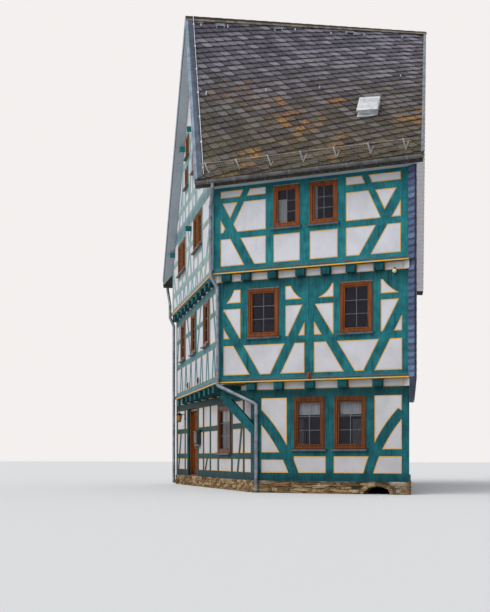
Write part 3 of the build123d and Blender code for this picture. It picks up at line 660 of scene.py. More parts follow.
@dataclass(frozen=True)
class Varnished:
    """Varnished softwood with its grain upright."""

    name: str
    light: str
    dark: str
    gloss: float = 0.35
    # strength of the painted shade off the street front
    side_shade: float = 0.0

    def dress(self) -> bpy.types.Material:
        """Build the wood.

        Returns:
            The material.
        """
        s = Shader(self.name)
        warp = s.stretched((30, 30, 1.6))
        grain = s.noise(1.0, 7, 0.7, warp)
        rings = s.noise(2.2, 3, 0.5, s.stretched((9, 9, 0.6)))
        colour = s.ramp(grain, [(0.32, paint(self.dark)), (0.64, paint(self.light))])
        colour = s.blend(s.times(rings, 0.35), colour, paint(self.dark), "MULTIPLY")
        colour = s.shaded(colour)
        # painted shade: darker and browner off the street front, above 2.4 m
        side = s.times(s.between(s.height("Y"), -5.5, -5.3), s.between(s.height(), 2.4, 2.7))
        colour = s.wash(colour, s.times(side, self.side_shade), "6E4A2A")
        relief = s.bump(grain, 0.0015)
        shine = {"Roughness": self.gloss, "Specular_IOR_Level": 0.15, "Coat_Weight": 0.03}
        return s.finish(Base_Color=colour, Normal=relief, **shine)


@dataclass(frozen=True)
class Metal:
    """Sheet metal or iron, dulled by weather."""

    name: str
    bright: str
    dull: str
    metallic: float
    roughness: float

    def dress(self) -> bpy.types.Material:
        """Build the metal.

        Returns:
            The material.
        """
        s = Shader(self.name)
        bloom = s.noise(5, 6, 0.65)
        run = s.streaks((22, 22, 1.5), 5, 0.6)
        colour = s.blend(s.between(bloom, 0.35, 0.7), paint(self.bright), paint(self.dull))
        colour = s.wash(colour, s.times(s.between(run, 0.52, 0.75), 0.4), self.dull)
        rough = s.plus(s.times(bloom, 0.2), self.roughness - 0.1)
        relief = s.bump(s.noise(16, 4, 0.5), 0.0012)
        return s.finish(Base_Color=colour, Metallic=self.metallic, Roughness=rough, Normal=relief)


@dataclass(frozen=True)
class Lacquer:
    """A smooth brushed paint in one hue, with slight dirt."""

    name: str
    hue: str
    dirt: str
    roughness: float = 0.5

    def dress(self) -> bpy.types.Material:
        """Build the paint.

        Returns:
            The material.
        """
        s = Shader(self.name)
        cloud = s.noise(9, 6, 0.65)
        streak = s.streaks((20, 20, 1.4), 5, 0.6)
        colour = s.blend(s.times(s.between(cloud, 0.45, 0.8), 0.55), paint(self.hue), paint(self.dirt))
        relief = s.bump(s.plus(streak, s.noise(60, 3, 0.6)), 0.0012)
        return s.finish(Base_Color=colour, Roughness=self.roughness, Normal=relief)


@dataclass(frozen=True)
class PaneGlass:
    """Old window glass: it mirrors a little sky and lets the room behind it show, by default dimmed by a
    dark, partly opaque colour that is painted shade of the room.
    """

    name: str
    # the dark hue and the partial opacity paint the shade of the dim room behind the pane
    hue: str = "1C1A26"
    roughness: float = 0.04
    solid: float = 0.28

    def dress(self) -> bpy.types.Material:
        """Build the glass.

        Returns:
            The material.
        """
        s = Shader(self.name)
        ripple = s.bump(s.noise(3.5, 2, 0.4), 0.0015)
        colour = s.blend(s.times(s.noise(2.0), 0.5), paint(self.hue), paint("3C3A50"))
        return s.finish(
            Base_Color=colour,
            Roughness=self.roughness,
            IOR=1.5,
            Specular_IOR_Level=0.5,
            Alpha=self.solid,
            Normal=ripple,
        )


@dataclass(frozen=True)
class Net:
    """White net curtain, woven fine enough to see through a little."""

    name: str

    def dress(self) -> bpy.types.Material:
        """Build the net.

        Returns:
            The material.
        """
        s = Shader(self.name)
        thread = s.streaks((240, 240, 240), 2, 0.5)
        colour = s.blend(thread, paint("F4F6F8"), paint("D0D4D8"))
        relief = s.bump(thread, 0.0006)
        return s.finish(Base_Color=colour, Roughness=0.85, Sheen_Weight=0.3, Alpha=0.92, Normal=relief)


class Finishes:
    """All the finishes of the house, each built once."""

    def __init__(self) -> None:
        """Build every finish."""
        self.front_paint = TimberPaint("front_timber_paint", "2A868C", "165C64", "4E9C9E", 0.25).dress()
        self.side_paint = TimberPaint("side_timber_paint", "64989F", "3A7882", "A8BEC2", 0.45).dress()
        self.pale_paint = TimberPaint("pale_timber_paint", "A0BABD", "6C979C", "CCD4D2", 0.55).dress()
        # a darker copy of the front paint: painted shade for the entrance wall under the jetty
        self.shaded_entrance_paint = TimberPaint("shaded_entrance_timber_paint", "1E666C", "10444A", "3E8084", 0.25).dress()
        self.plaster = Plaster("lime_plaster").dress()
        self.party_plaster = Plaster("party_wall_plaster", "CFCDC9", "9E9A92").dress()
        slates = ("45414E", "5F5B66", "8C8893")
        self.roof_slate = Slate("roof_slate", slates, ("2C2520", "423931", "645A52"), 0.9, 0.9).dress()
        hung = ("3E4E70", "4E6086", "6880A4")
        # a lighter copy of the hung slate for the right side: painted light, as the sky lights that face
        pale = ("7C7A86", "94929E", "B0AEB8")
        self.sky_lit_slate = Slate("sky_lit_hung_slate", pale, pale, 0.1, 0.0, 0.5).dress()
        self.wall_slate = Slate("hung_slate", hung, hung, 0.1, 0.0, 0.5).dress()
        weathered = ("5A5248", "75695A", "8C7E66")
        self.ridge_slate = Slate("ridge_slate", weathered, weathered, 0.6, 0.7).dress()
        self.rubble = Stone("rubble_stone", ("5E4A34", "94734B", "B8A27C")).dress()
        # the plinth's mortar in a near-black brown: painted shade in the gaps between the stones
        self.gap_shade_mortar = Plaster("shaded_rubble_mortar", "453A2C", "2A2219").dress()
        self.casing_wood = Varnished("casing_wood", "A65A28", "5C2C10", 0.5, 0.65).dress()
        self.door_wood = Varnished("door_wood", "B8652A", "7A3A12").dress()
        self.floor_wood = Varnished("floor_boards", "8A6A48", "5A4028", 0.6).dress()
        self.zinc = Metal("weathered_zinc", "8D949B", "5F666D", 0.75, 0.5).dress()
        self.gutter_zinc = Metal("gutter_zinc", "6E6D6E", "4C4A4A", 0.45, 0.55).dress()
        self.galvanised = Metal("galvanised_steel", "A9B0B5", "7E868C", 0.8, 0.42).dress()
        self.bright_sheet = Metal("bright_sheet", "D6D9DC", "B2B6BA", 0.3, 0.5).dress()
        self.verge_sheet = Metal("verge_sheet", "8798A8", "647688", 0.3, 0.5).dress()
        self.lattice = Metal("lattice_steel", "A89A88", "746A5E", 0.4, 0.6).dress()
        self.flashing = Metal("dark_flashing", "4A5566", "36404E", 0.3, 0.6).dress()
        self.ball = Lacquer("ball_glass", "E8D9A0", "D0BC78", 0.3).dress()
        self.iron = Metal("wrought_iron", "26282A", "16181A", 0.6, 0.5).dress()
        self.rust = Metal("rusty_iron", "8A4630", "4C281C", 0.3, 0.8).dress()
        self.ledge_metal = Metal("ledge_sheet", "555B62", "3A3F45", 0.5, 0.5).dress()
        self.verge_paint = Lacquer("verge_paint", "A8B0B6", "7F878C").dress()
        self.soffit_paint = Lacquer("soffit_paint", "F2EAEE", "D0C8CC").dress()
        self.line_paint = Lacquer("line_paint", "E0A436", "A87C30", 0.6).dress()
        self.strip_paint = Lacquer("strip_paint", "3F4B55", "2A3138").dress()
        self.bar_paint = Lacquer("bar_paint", "7C8082", "5A5E60").dress()
        self.dark_paint = Lacquer("box_paint", "22282C", "15191B", 0.4).dress()
        self.glass = PaneGlass("window_glass").dress()
        self.amber = PaneGlass("amber_glass", "E09A2C", 0.25, 0.85).dress()
        self.net = Net("net_curtain").dress()


# workshop


def deselect() -> None:
    """Leave edit mode and let go of every object."""
    if bpy.context.mode != "OBJECT":
        bpy.ops.object.mode_set(mode="OBJECT")
    bpy.ops.object.select_all(action="DESELECT")


def hold(piece: Piece) -> None:
    """Select one object alone.

    Args:
        piece: The object.
    """
    deselect()
    piece.select_set(True)
    bpy.context.view_layer.objects.active = piece


def fresh(name: str, scale: Numbers = (1, 1, 1)) -> Piece:
    """Name the object just made, and apply its place, turn and scale.

    Args:
        name: Its name.
        scale: Its scale.

    Returns:
        The object.
    """
    piece = bpy.context.active_object
    piece.name = name
    piece.scale = scale
    bpy.ops.object.transform_apply(location=True, rotation=True, scale=True)
    return piece


def smooth(piece: Piece, degrees: float = 180) -> Piece:
    """Shade an object smoothly, apart from edges sharper than an angle.

    Args:
        piece: The object.
        degrees: The angle.

    Returns:
        The object.
    """
    hold(piece)
    bpy.ops.object.shade_smooth_by_angle(angle=math.radians(degrees))
    return piece


@contextmanager
def editing(piece: Piece, everything: bool = False) -> Iterator[None]:
    """Edit one mesh, in face mode.

    Args:
        piece: The object.
        everything: Whether all of it is selected first.

    Yields:
        Nothing; the object is in edit mode meanwhile.
    """
    hold(piece)
    bpy.context.tool_settings.mesh_select_mode = (False, False, True)
    bpy.ops.object.mode_set(mode="EDIT")
    if everything:
        bpy.ops.mesh.select_all(action="SELECT")
    yield
    bpy.ops.object.mode_set(mode="OBJECT")


def pick(piece: Piece, wanted: Callable[[Vector, Vector], bool]) -> None:
    """Select the faces that a test wants.

    Args:
        piece: The object.
        wanted: The test, given each face's middle and normal.
    """
    mesh = piece.data
    mesh.vertices.foreach_set("select", [False] * len(mesh.vertices))
    mesh.edges.foreach_set("select", [False] * len(mesh.edges))
    mesh.polygons.foreach_set("select", [wanted(p.center, p.normal) for p in mesh.polygons])


def pick_points(piece: Piece, wanted: Callable[[Vector], bool]) -> None:
    """Select the points that a test wants, and edit the mesh in point mode.

    Args:
        piece: The object.
        wanted: The test, given each point.
    """
    pick(piece, lambda c, n: False)
    for vertex in piece.data.vertices:
        vertex.select = wanted(vertex.co)
    hold(piece)
    bpy.context.tool_settings.mesh_select_mode = (True, False, False)
    bpy.ops.object.mode_set(mode="EDIT")


def block(name: str, low: Numbers, high: Numbers, bevel: float = 0.004) -> Piece:
    """Cut a bar with eased edges.

    Args:
        name: The object's name.
        low: Its lowest corner.
        high: Its highest corner.
        bevel: How much its edges are eased.

    Returns:
        The bar, with its place in its mesh.
    """
    deselect()
    middle = [(a + b) / 2 for a, b in zip(low, high)]
    bpy.ops.mesh.primitive_cube_add(size=1, location=middle)
    piece = fresh(name, [b - a for a, b in zip(low, high)])
    if bevel:
        with editing(piece, everything=True):
            bpy.ops.mesh.bevel(offset=bevel, segments=1, affect="EDGES")
    return piece


def rod(
    name: str,
    start: Numbers,
    end: Numbers,
    radius: float,
    sides: int = 12,
    end_radius: float | None = None,
) -> Piece:
    """Turn a round bar between two points, with eased ends.

    Args:
        name: The object's name.
        start: The middle of its first end.
        end: The middle of its other end.
        radius: The radius at its start.
        sides: How many sides it has.
        end_radius: The radius at its end, if not the same.

    Returns:
        The bar.
    """
    deselect()
    a, b = Vector(start), Vector(end)
    far = radius if end_radius is None else end_radius
    bpy.ops.mesh.primitive_cone_add(vertices=sides, radius1=radius, radius2=far, depth=(b - a).length)
    piece = fresh(name)
    pick(piece, lambda c, n: abs(n.z) > 0.99)
    with editing(piece):
        bpy.ops.mesh.bevel(offset=radius * 0.15, segments=1, affect="EDGES")
    turn = (b - a).to_track_quat("Z", "Y").to_matrix().to_4x4()
    piece.data.transform(Matrix.Translation((a + b) / 2) @ turn)
    return smooth(piece, 40)


def hoop(name: str, middle: Numbers, radius: float, thick: float, tall: float) -> Piece:
    """Make a flat ring round an upright axis, such as a pipe's collar.

    Args:
        name: The object's name.
        middle: The ring's middle.
        radius: Its inner radius.
        thick: How thick its wall is.
        tall: Its height.

    Returns:
        The ring.
    """
    deselect()
    bpy.ops.mesh.primitive_cylinder_add(
        vertices=20, radius=radius, depth=tall, location=middle, end_fill_type="NOTHING"
    )
    piece = fresh(name)
    shell = piece.modifiers.new("wall", "SOLIDIFY")
    shell.thickness = thick
    shell.offset = 1
    ease(piece, thick * 0.3, 1)
    return piece


def ease(piece: Piece, width: float, segments: int = 2) -> None:
    """Round the edges of an object by a modifier, and apply all that it has.

    Args:
        piece: The object.
        width: How wide the rounding is.
        segments: Its steps.
    """
    edge = piece.modifiers.new("edge", "BEVEL")
    edge.width = width
    edge.segments = segments
    settle(piece)


def settle(piece: Piece) -> None:
    """Apply every modifier of an object.

    Args:
        piece: The object.
    """
    hold(piece)
    for modifier in list(piece.modifiers):
        bpy.ops.object.modifier_apply(modifier=modifier.name)


def ring(
    left: float, right: float, base: float, top: float, wide: float, front: float, back: float
) -> Piece:
    """Join a rectangular frame from four rails.

    Args:
        left: Its outer left edge.
        right: Its outer right edge.
        base: Its outer lower edge.
        top: Its outer upper edge.
        wide: The rails' width.
        front: Its front face's depth in the wall.
        back: Its back face's depth.

    Returns:
        The frame.
    """
    deselect()
    middle = ((left + right) / 2, back, (base + top) / 2)
    bpy.ops.mesh.primitive_plane_add(size=1, location=middle, rotation=(math.pi / 2, 0, 0))
    piece = fresh("ring", (right - left, top - base, 1))
    with editing(piece, everything=True):
        bpy.ops.mesh.inset(thickness=wide)
        bpy.ops.mesh.delete(type="FACE")
        bpy.ops.mesh.select_all(action="SELECT")
        extrude(0, front - back, 0)
        bpy.ops.mesh.select_all(action="SELECT")
        bpy.ops.mesh.normals_make_consistent(inside=False)
    ease(piece, 0.004)
    return piece


def join(name: str, parts: Sequence[Piece]) -> Piece:
    """Join objects into one.

    Args:
        name: The name of the result.
        parts: The objects.

    Returns:
        The joined object.
    """
    deselect()
    for part in parts:
        part.select_set(True)
    bpy.context.view_layer.objects.active = parts[0]
    if len(parts) > 1:
        bpy.ops.object.join()
    parts[0].name = name
    parts[0].data.name = name
    return parts[0]


def outwards(piece: Piece) -> None:
    """Merge doubles and turn every face outwards.

    Args:
        piece: The object.
    """
    with editing(piece, everything=True):
        bpy.ops.mesh.remove_doubles(threshold=0.0001)
        bpy.ops.mesh.normals_make_consistent(inside=False)


def drag(x: float, y: float, z: float) -> None:
    """Move what is selected."""
    bpy.ops.transform.translate(value=(x, y, z))


def extrude(x: float, y: float, z: float) -> None:
    """Draw the selected faces out."""
    bpy.ops.mesh.extrude_region_move(TRANSFORM_OT_translate={"value": (x, y, z)})


def place(piece: Piece, frame: Matrix) -> Piece:
    """Move an object's mesh to its place on the house.

    Args:
        piece: The object.
        frame: Its place.

    Returns:
        The object.
    """
    piece.data.transform(frame)
    piece.data.update()
    return piece


def deliver(
    piece: Piece,
    material: bpy.types.Material,
    slot: str,
    body: str = "house",
    replaces: Sequence[str] = (),
) -> Piece:
    """Give a finished piece its finish and the body it rides on.

    Args:
        piece: The piece.
        material: Its finish.
        slot: The record's material slot; not used.
        body: The body that carries it.
        replaces: The nodes of the model that it stands for.

    Returns:
        The piece.
    """
    piece.data.materials.clear()
    piece.data.materials.append(material)
    if replaces:
        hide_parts(*replaces)
    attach(piece, body)
    log.info("%s: %d faces", piece.name, len(piece.data.polygons))
    return piece


def stamp(
    name: str, models: Sequence[Piece], places: Sequence[Place], seed: int
) -> Piece:
    """Lay many copies of a few small models as one mesh.

    Args:
        name: The name of the result.
        models: The models, which are used up.
        places: For each copy, which model it is of and where it lies.
        seed: Seed of the copies' tones.

    Returns:
        The joined mesh. Its attributes tone and spot differ from copy to copy, and fall runs up each copy.
    """
    rng = np.random.default_rng(seed)
    shapes = []
    for model in models:
        count = len(model.data.vertices)
        points = np.zeros(count * 3)
        model.data.vertices.foreach_get("co", points)
        shapes.append((points.reshape(-1, 3), [tuple(p.vertices) for p in model.data.polygons]))
    points, faces, tones, spots, falls = [], [], [], [], []
    first = 0
    for index, matrix in places:
        shape, polygons = shapes[index]
        grid = np.array(matrix)
        points.append(shape @ grid[:3, :3].T + grid[:3, 3])
        faces += [tuple(v + first for v in p) for p in polygons]
        tones += [rng.random()] * len(shape)
        spots += [rng.random()] * len(shape)
        falls += (shape[:, 1] / shape[:, 1].max()).tolist()
        first += len(shape)
    mesh = bpy.data.meshes.new(name)
    mesh.from_pydata(np.concatenate(points).tolist(), [], faces)
    for label, values in (("tone", tones), ("spot", spots), ("fall", falls)):
        mesh.attributes.new(label, "FLOAT", "POINT").data.foreach_set("value", values)
    piece = bpy.data.objects.new(name, mesh)
    bpy.context.scene.collection.objects.link(piece)
    for model in models:
        bpy.data.objects.remove(model)
    return piece


def cut(piece: Piece, point: Vector, normal: Vector) -> None:
    """Trim away what lies past a plane, on the side that its normal points to."""
    with editing(piece, everything=True):
        bpy.ops.mesh.bisect(plane_co=point, plane_no=normal, use_fill=False, clear_outer=True)


# roof


@dataclass
class SlateRoof:
    """Scale-shaped slates over both slopes, with the ridge and the verges."""

    finishes: Finishes
    wide: float = 0.215
    course: float = 0.175
    thick: float = 0.015
    large: float = 0.273
    small: float = 0.228
    climb: float = 0.78
    shift: float = 0.125
    spacing: float = 0.222
    tilt: float = 0.060
    lift: float = 0.013
    rng: random.Random = field(default_factory=lambda: random.Random(11))

    def scale(self, wide: float, tall: float, round_left: float, name: str, lean: float = 0.0) -> Piece:
        """Model one slate: its head at the top, its lower corners rounded.

        Args:
            wide: Its width.
            tall: Its whole length, lap included.
            round_left: The radius of its lower left corner.
            name: The object's name.
            lean: How far its head stands to the left of its tail, as a share of its length.

        Returns:
            The slate, its tail at the origin.
        """
        deselect()
        bpy.ops.mesh.primitive_plane_add(size=1, location=(0, tall / 2, 0))
        piece = fresh(name, (wide, tall, 1))
        pick_points(piece, lambda c: c.y > tall * 0.9)
        drag(-tall * lean, 0, 0)
        bpy.ops.object.mode_set(mode="OBJECT")
        for side, radius, segments in ((-1, round_left, 3), (1, wide * 0.16, 2)):
            pick_points(piece, lambda c: c.y < 0.001 and c.x * side > wide * 0.4)
            bpy.ops.mesh.bevel(offset=radius, segments=segments, affect="VERTICES")
            bpy.ops.object.mode_set(mode="OBJECT")
        with editing(piece, everything=True):
            extrude(0, 0, self.thick)
        outwards(piece)
        return piece

    def lattice(self, slope: Slope) -> Iterator[tuple[float, float]]:
        """Find where the slates of a slope lie, in courses that climb to the right.

        Args:
            slope: The slope.

        Yields:
            Each slate's shares of the slope's width and height.
        """
        rise, wide = slope.rise(), self.spacing
        for index in range(-14, 40):
            across = -3 * wide - (self.shift * index) % wide
            while across < slope.width(0.5) + self.large:
                high = self.height_of(index + across * self.climb, rise)
                across += wide
                if high is not None:
                    up = high / rise
                    share = across / slope.width(up)
                    if -0.04 < up < 1.0 and -0.06 < share < 1.06:
                        yield share, up

    def field_on(self, slope: Slope, name: str, seed: int) -> Piece:
        """Lay the slates of one slope, course by course.

        Args:
            slope: The slope.
            name: The name of the piece.
            seed: Seed of their small differences.

        Returns:
            The slates as one mesh, trimmed at the verges.
        """
        rng = random.Random(seed)
        tall = self.course * 1.75
        models = [
            self.scale(self.wide * broad, tall, self.wide * radius, "scale", lean)
            for broad, radius, lean in ((0.90, 0.30, 0.76), (0.88, 0.24, 0.72), (0.91, 0.36, 0.80))
        ]
        rise = slope.rise()
        places = []
        for share, up in self.lattice(slope):
            course = self.large + (self.small - self.large) * min(max(up, 0), 1)
            local = (slope.at(share, 1) - slope.at(share, 0)).length / rise
            lean = turned("X", rng.uniform(-0.014, 0.014) - self.tilt)
            twist = turned("Z", math.atan(self.climb * course) + rng.uniform(-0.035, 0.035))
            lift = moved(rng.uniform(-0.004, 0.004), rng.uniform(-0.006, 0.006), self.lift)
            size = sized(self.spacing / self.wide, local * course / self.course)
            places.append((rng.randrange(3), slope.frame(share, up) @ lift @ twist @ lean @ size))
        piece = stamp(name, models, places, seed)
        for start, end, over in (
            (slope.low_left, slope.high_left, 0.012),
            (slope.low_right, slope.high_right, 0.012),
            (slope.high_left, slope.high_right, 0.0),
            (slope.low_left, slope.low_right, 0.03),
        ):
            self.trim(piece, start, end, slope.at(0.5, 0.5), over)
        return piece

    def height_of(self, turns: float, rise: float) -> float | None:
        """How far up the slope a course lies, the courses growing smaller towards the ridge.

        Args:
            turns: The number of courses below it.
            rise: The slope's length.

        Returns:
            The distance from the eave, or nothing far outside of the slope.
        """
        rate = (self.small - self.large) / rise
        high = self.large * (math.exp(rate * turns) - 1) / rate
        return high if -0.5 < high < rise + 0.5 else None

    def trim(self, piece: Piece, start: Vector, end: Vector, inside: Vector, over: float) -> None:
        """Trim slates upright along an edge of the roof.

        Args:
            piece: The slates.
            start: A point on the line.
            end: Another point on it.
            inside: A point on the side that stays.
            over: How far past the line they reach.
        """
        out = away(start, end, inside)
        cut(piece, start + out * over, out)

    def ridge(self) -> Piece:
        """Lap the ridge slates from both slopes over the crest.

        Returns:
            The slates.
        """
        start, end = LEFT_VERGE[1], RIGHT_VERGE[1]
        rows = []
        count = round((end - start).length / 0.16)
        for slope, flip in ((FRONT_SLOPE, 1), (REAR_SLOPE, -1)):
            places = []
            for index in range(count):
                share = (index + 0.5) / count
                frame = slope.frame(share if flip > 0 else 1 - share, 0.995)
                jitter = turned("Z", self.rng.uniform(-0.04, 0.04))
                lift = moved(0, -0.120, 0.034 + 0.004 * (index % 2))
                places.append((0, frame @ lift @ jitter))
            row = stamp("ridge_row", [self.scale(0.20, 0.19, 0.03, "ridge_scale")], places, 5 + flip)
            self.trim(row, start, end, slope.at(0.5, 0.5), 0.004)
            rows.append(row)
        return join("ridge_slates", rows)

    def verge_trim(self, verge: Sequence[Vector], name: str, tall: float) -> Piece:
        """Bend a sheet trim over a verge's edge, from eave to ridge and down again.

        Args:
            verge: The verge's eave, ridge and rear eave.
            name: The name of the piece.
            tall: How far it hangs down the edge.

        Returns:
            The trim.
        """
        parts = []
        for edge in self.verge_frames(verge):
            length = edge[1]
            top = block("sheet", (0, -0.045, 0.034), (length, 0.016, 0.042), 0.002)
            drop = block("sheet", (0, 0.010, -tall), (length, 0.018, 0.042), 0.002)
            roll = rod("sheet", (0, 0.014, 0.042), (length, 0.014, 0.042), 0.011, 10)
            parts += [self.lay(p, *edge) for p in (top, drop, roll)]
        return join(name, parts)

    def lay(self, piece: Piece, frame: Matrix, length: float, tilts: Numbers) -> Piece:
        """Lay a piece along a verge, tilted with the twisted slope inside of it.

        Args:
            piece: The piece, X up the verge and Y outwards.
            frame: The verge's place.
            length: The verge's length.
            tilts: The slope's tilt at the eave and at the ridge.

        Returns:
            The piece in place.
        """
        for vertex in piece.data.vertices:
            vertex.co.z += vertex.co.y * (tilts[0] + (tilts[1] - tilts[0]) * vertex.co.x / length)
        return place(piece, frame)

    def verge_frames(self, verge: Sequence[Vector]) -> list[tuple[Matrix, float, tuple[float, float]]]:
        """The two slopes' edges of a verge.

        Args:
            verge: The verge's eave, ridge and rear eave.

        Returns:
            For each slope its place (X up the edge, Y outwards), its length and its tilts.
        """
        other = RIGHT_VERGE if verge is LEFT_VERGE else LEFT_VERGE
        found = []
        for eave in (0, 2):
            low, high = verge[eave], verge[1]
            direction = (high - low).normalized()
            out = away(low, high, Vector((0, 0, 9)))
            up = out.cross(direction)
            if up.z < 0:
                up = -up
            normals = [direction.cross(other[at] - verge[at]) for at in (eave, 1)]
            tilts = tuple(-normal.dot(out) / normal.dot(up) for normal in normals)
            found.append((stand(low, direction, out, up), (high - low).length, tilts))
        return found

    def verge_soffit(self) -> Piece:
        """Nail boards side by side under the right verge's overhang.

        Returns:
            The boards.
        """
        board = block("board", (-0.002, 0.002, -0.018), (0.285, 0.138, 0.0), 0.003)
        places = []
        for slope, inward in ((REAR_SLOPE, 1), (FRONT_SLOPE, -1)):
            edge, share = slope.rise(), 0 if inward > 0 else 1
            turn = Matrix.Identity(4) if inward > 0 else moved(-0.283, 0, 0)
            for index in range(int(edge / 0.14)):
                frame = slope.frame(share, (index * 0.14 + 0.03) / edge)
                pitch = max(0.3, frame.col[2].z)
                under = moved(0.035 * inward, 0, -0.2 * pitch - 0.003)
                places.append((0, frame @ under @ turn))
        return stamp("right_verge_soffit", [board], places, 12)

    def flashing(self) -> Piece:
        """Lay the dark sheet that runs up beside the left verge's trim.

        Returns:
            The sheet.
        """
        strips = [
            self.lay(block("strip", (0.02, -0.175, 0.034), (edge[1] - 0.02, -0.030, 0.040), 0.003), *edge)
            for edge in self.verge_frames(LEFT_VERGE)
        ]
        return join("verge_flashing", strips)

    def conductor(self) -> Piece:
        """Run the lightning conductor's wire up the left verge on its holders.

        Returns:
            The wire.
        """
        frame, length, tilts = self.verge_frames(LEFT_VERGE)[0]
        parts = [rod("wire", (0.05, -0.190, 0.075), (length + 0.08, -0.190, 0.075), 0.008, 8)]
        for index in range(7):
            x = 0.3 + (length - 0.6) * index / 6
            parts.append(block("holder", (x - 0.010, -0.195, 0.010), (x + 0.010, -0.185, 0.075), 0.001))
            parts.append(block("foot", (x - 0.030, -0.215, 0.041), (x + 0.030, -0.170, 0.047), 0.001))
        return self.lay(join("conductor_wire", parts), frame, length, tilts)

    def vent(self, across: float, up: float) -> Piece:
        """Model a small hooded roof vent.

        Args:
            across: Its share of the slope's width.
            up: Its share of the slope's height.

        Returns:
            The vent in place.
        """
        hood = block("hood", (-0.085, -0.07, 0.0), (0.085, 0.11, 0.075), 0)
        pick(hood, lambda c, n: n.y > 0.9)
        with editing(hood):
            bpy.ops.transform.resize(value=(0.7, 1, 0.12))
            drag(0, 0.02, -0.03)
        pick(hood, lambda c, n: n.y < -0.9)
        with editing(hood):
            bpy.ops.mesh.inset(thickness=0.010)
            extrude(0, 0.05, 0)
        with editing(hood, everything=True):
            bpy.ops.mesh.normals_make_consistent(inside=False)
        flange = block("flange", (-0.12, -0.10, 0.020), (0.12, 0.14, 0.027), 0.002)
        return place(join("vent", [hood, flange]), FRONT_SLOPE.frame(across, up))

    def hook(self, slope: Slope, across: float, up: float) -> Piece:
        """Bend a steel ladder hook.

        Args:
            slope: The slope that it is on.
            across: Its share of the slope's width.
            up: Its share of the slope's height.

        Returns:
            The hook in place.
        """
        strap = block("hook", (-0.014, -0.12, 0.026), (0.014, 0.10, 0.032), 0.001)
        arm = block("hook", (-0.014, -0.125, 0.026), (0.014, -0.118, 0.085), 0.001)
        tip = rod("hook", (0, -0.122, 0.082), (0, -0.075, 0.105), 0.008, 8)
        return place(join("hook", [strap, arm, tip]), slope.frame(across, up))

    def build(self) -> None:
        """Build and deliver every piece of the roof covering."""
        f = self.finishes
        deliver(self.field_on(FRONT_SLOPE, "front_slates", 3), f.roof_slate, "slate")
        deliver(self.field_on(REAR_SLOPE, "rear_slates", 4), f.roof_slate, "slate")
        deliver(self.ridge(), f.ridge_slate, "slate")
        deliver(self.verge_trim(LEFT_VERGE, "left_verge_trim", 0.10), f.verge_sheet, "zinc")
        deliver(self.flashing(), f.flashing, "zinc")
        deliver(self.conductor(), f.bright_sheet, "zinc")
        deliver(self.verge_trim(RIGHT_VERGE, "right_verge_trim", 0.16), f.zinc, "zinc")
        deliver(self.verge_soffit(), f.soffit_paint, "verge_paint")
        vents = [self.vent(a, 0.955) for a in (0.14, 0.38, 0.68)]
        deliver(join("ridge_vents", vents), f.zinc, "zinc")
        spots = [(0.06, 0.955), (0.17, 0.95), (0.45, 0.955), (0.60, 0.94), (0.74, 0.94), (0.90, 0.94)]
        spots += [(0.07, 0.50), (0.33, 0.505), (0.56, 0.51), (0.90, 0.58)]
        hooks = [self.hook(FRONT_SLOPE, a, u) for a, u in spots]
        hooks += [self.hook(REAR_SLOPE, a, 0.6) for a in (0.2, 0.5, 0.8)]
        deliver(join("ladder_hooks", hooks), f.galvanised, "zinc")


@dataclass
class RoofHatch:
    """A sheet-metal hatch with a folded lid."""

    finishes: Finishes
    wide: float = 0.51
    tall: float = 0.70
    across: float = 0.772
    up: float = 0.34

    def build(self) -> None:
        """Build the hatch in place of its node."""
        w, t = self.wide / 2, self.tall / 2
        kerb = block("kerb", (-w + 0.04, -t + 0.04, -0.04), (w - 0.04, t - 0.04, 0.13), 0.006)
        lid = block("lid", (-w, -t, 0.118), (w, t, 0.165), 0)
        pick(lid, lambda c, n: n.z > 0.9)
        with editing(lid):
            bpy.ops.mesh.inset(thickness=0.05)
            drag(0, 0, 0.016)
            bpy.ops.mesh.inset(thickness=0.012)
            drag(0, 0, -0.006)
        ease(lid, 0.004)
        apron = block("apron", (-w + 0.01, -t - 0.07, 0.020), (w - 0.01, t + 0.03, 0.027), 0.002)
        handle = rod("handle", (-0.07, -t - 0.012, 0.10), (0.07, -t - 0.012, 0.10), 0.009, 10)
        pin, high = t + 0.004, 0.135
        hinges = [rod("pin", (x - 0.05, pin, high), (x + 0.05, pin, high), 0.012, 10) for x in (-0.15, 0.15)]
        piece = join("hatch", [kerb, lid, apron, handle, *hinges])
        place(piece, FRONT_SLOPE.frame(self.across, self.up))
        deliver(piece, self.finishes.bright_sheet, "zinc", replaces=["roof_hatch"])


@dataclass
class SnowGuard:
    """A wire lattice on flat uprights above the front eave."""

    finishes: Finishes
    up: float = 0.03
    tall: float = 0.29
    short: float = 0.24
    mesh: float = 0.045
    posts: int = 7

    def build(self) -> None:
        """Build the lattice in place of its node."""
        frame = FRONT_SLOPE.frame(0.5, self.up)
        half = FRONT_SLOPE.width(self.up) / 2 - self.short
        parts, wires = [], [rod("rail", (-half, 0, self.tall), (half, 0, self.tall), 0.009, 8)]
        for height in (0.035, 0.098, 0.162, 0.226):
            wires.append(rod("rail", (-half, 0, height), (half, 0, height), 0.004, 6))
        count = int(2 * half / self.mesh)
        for index in range(count + 1):
            x = -half + 2 * half * index / count
            wires.append(rod("wire", (x, 0, 0.030), (x, 0, self.tall), 0.0034, 5))
        for index in range(self.posts):
            x = -half + 0.15 + (2 * half - 0.3) * index / (self.posts - 1)
            low, high = (x - 0.017, -0.014, 0.012), (x + 0.017, -0.004, self.tall + 0.03)
            parts.append(block("upright", low, high, 0.001))
            wires.append(block("foot", (x - 0.014, -0.012, 0.026), (x + 0.014, 0.30, 0.032), 0.001))
        guard = place(join("snow_guard_rails", parts), frame)
        deliver(guard, self.finishes.bright_sheet, "zinc", replaces=["snow_guard"])
        mesh = place(join("snow_guard_lattice", wires), frame)
        deliver(mesh, self.finishes.lattice, "zinc")


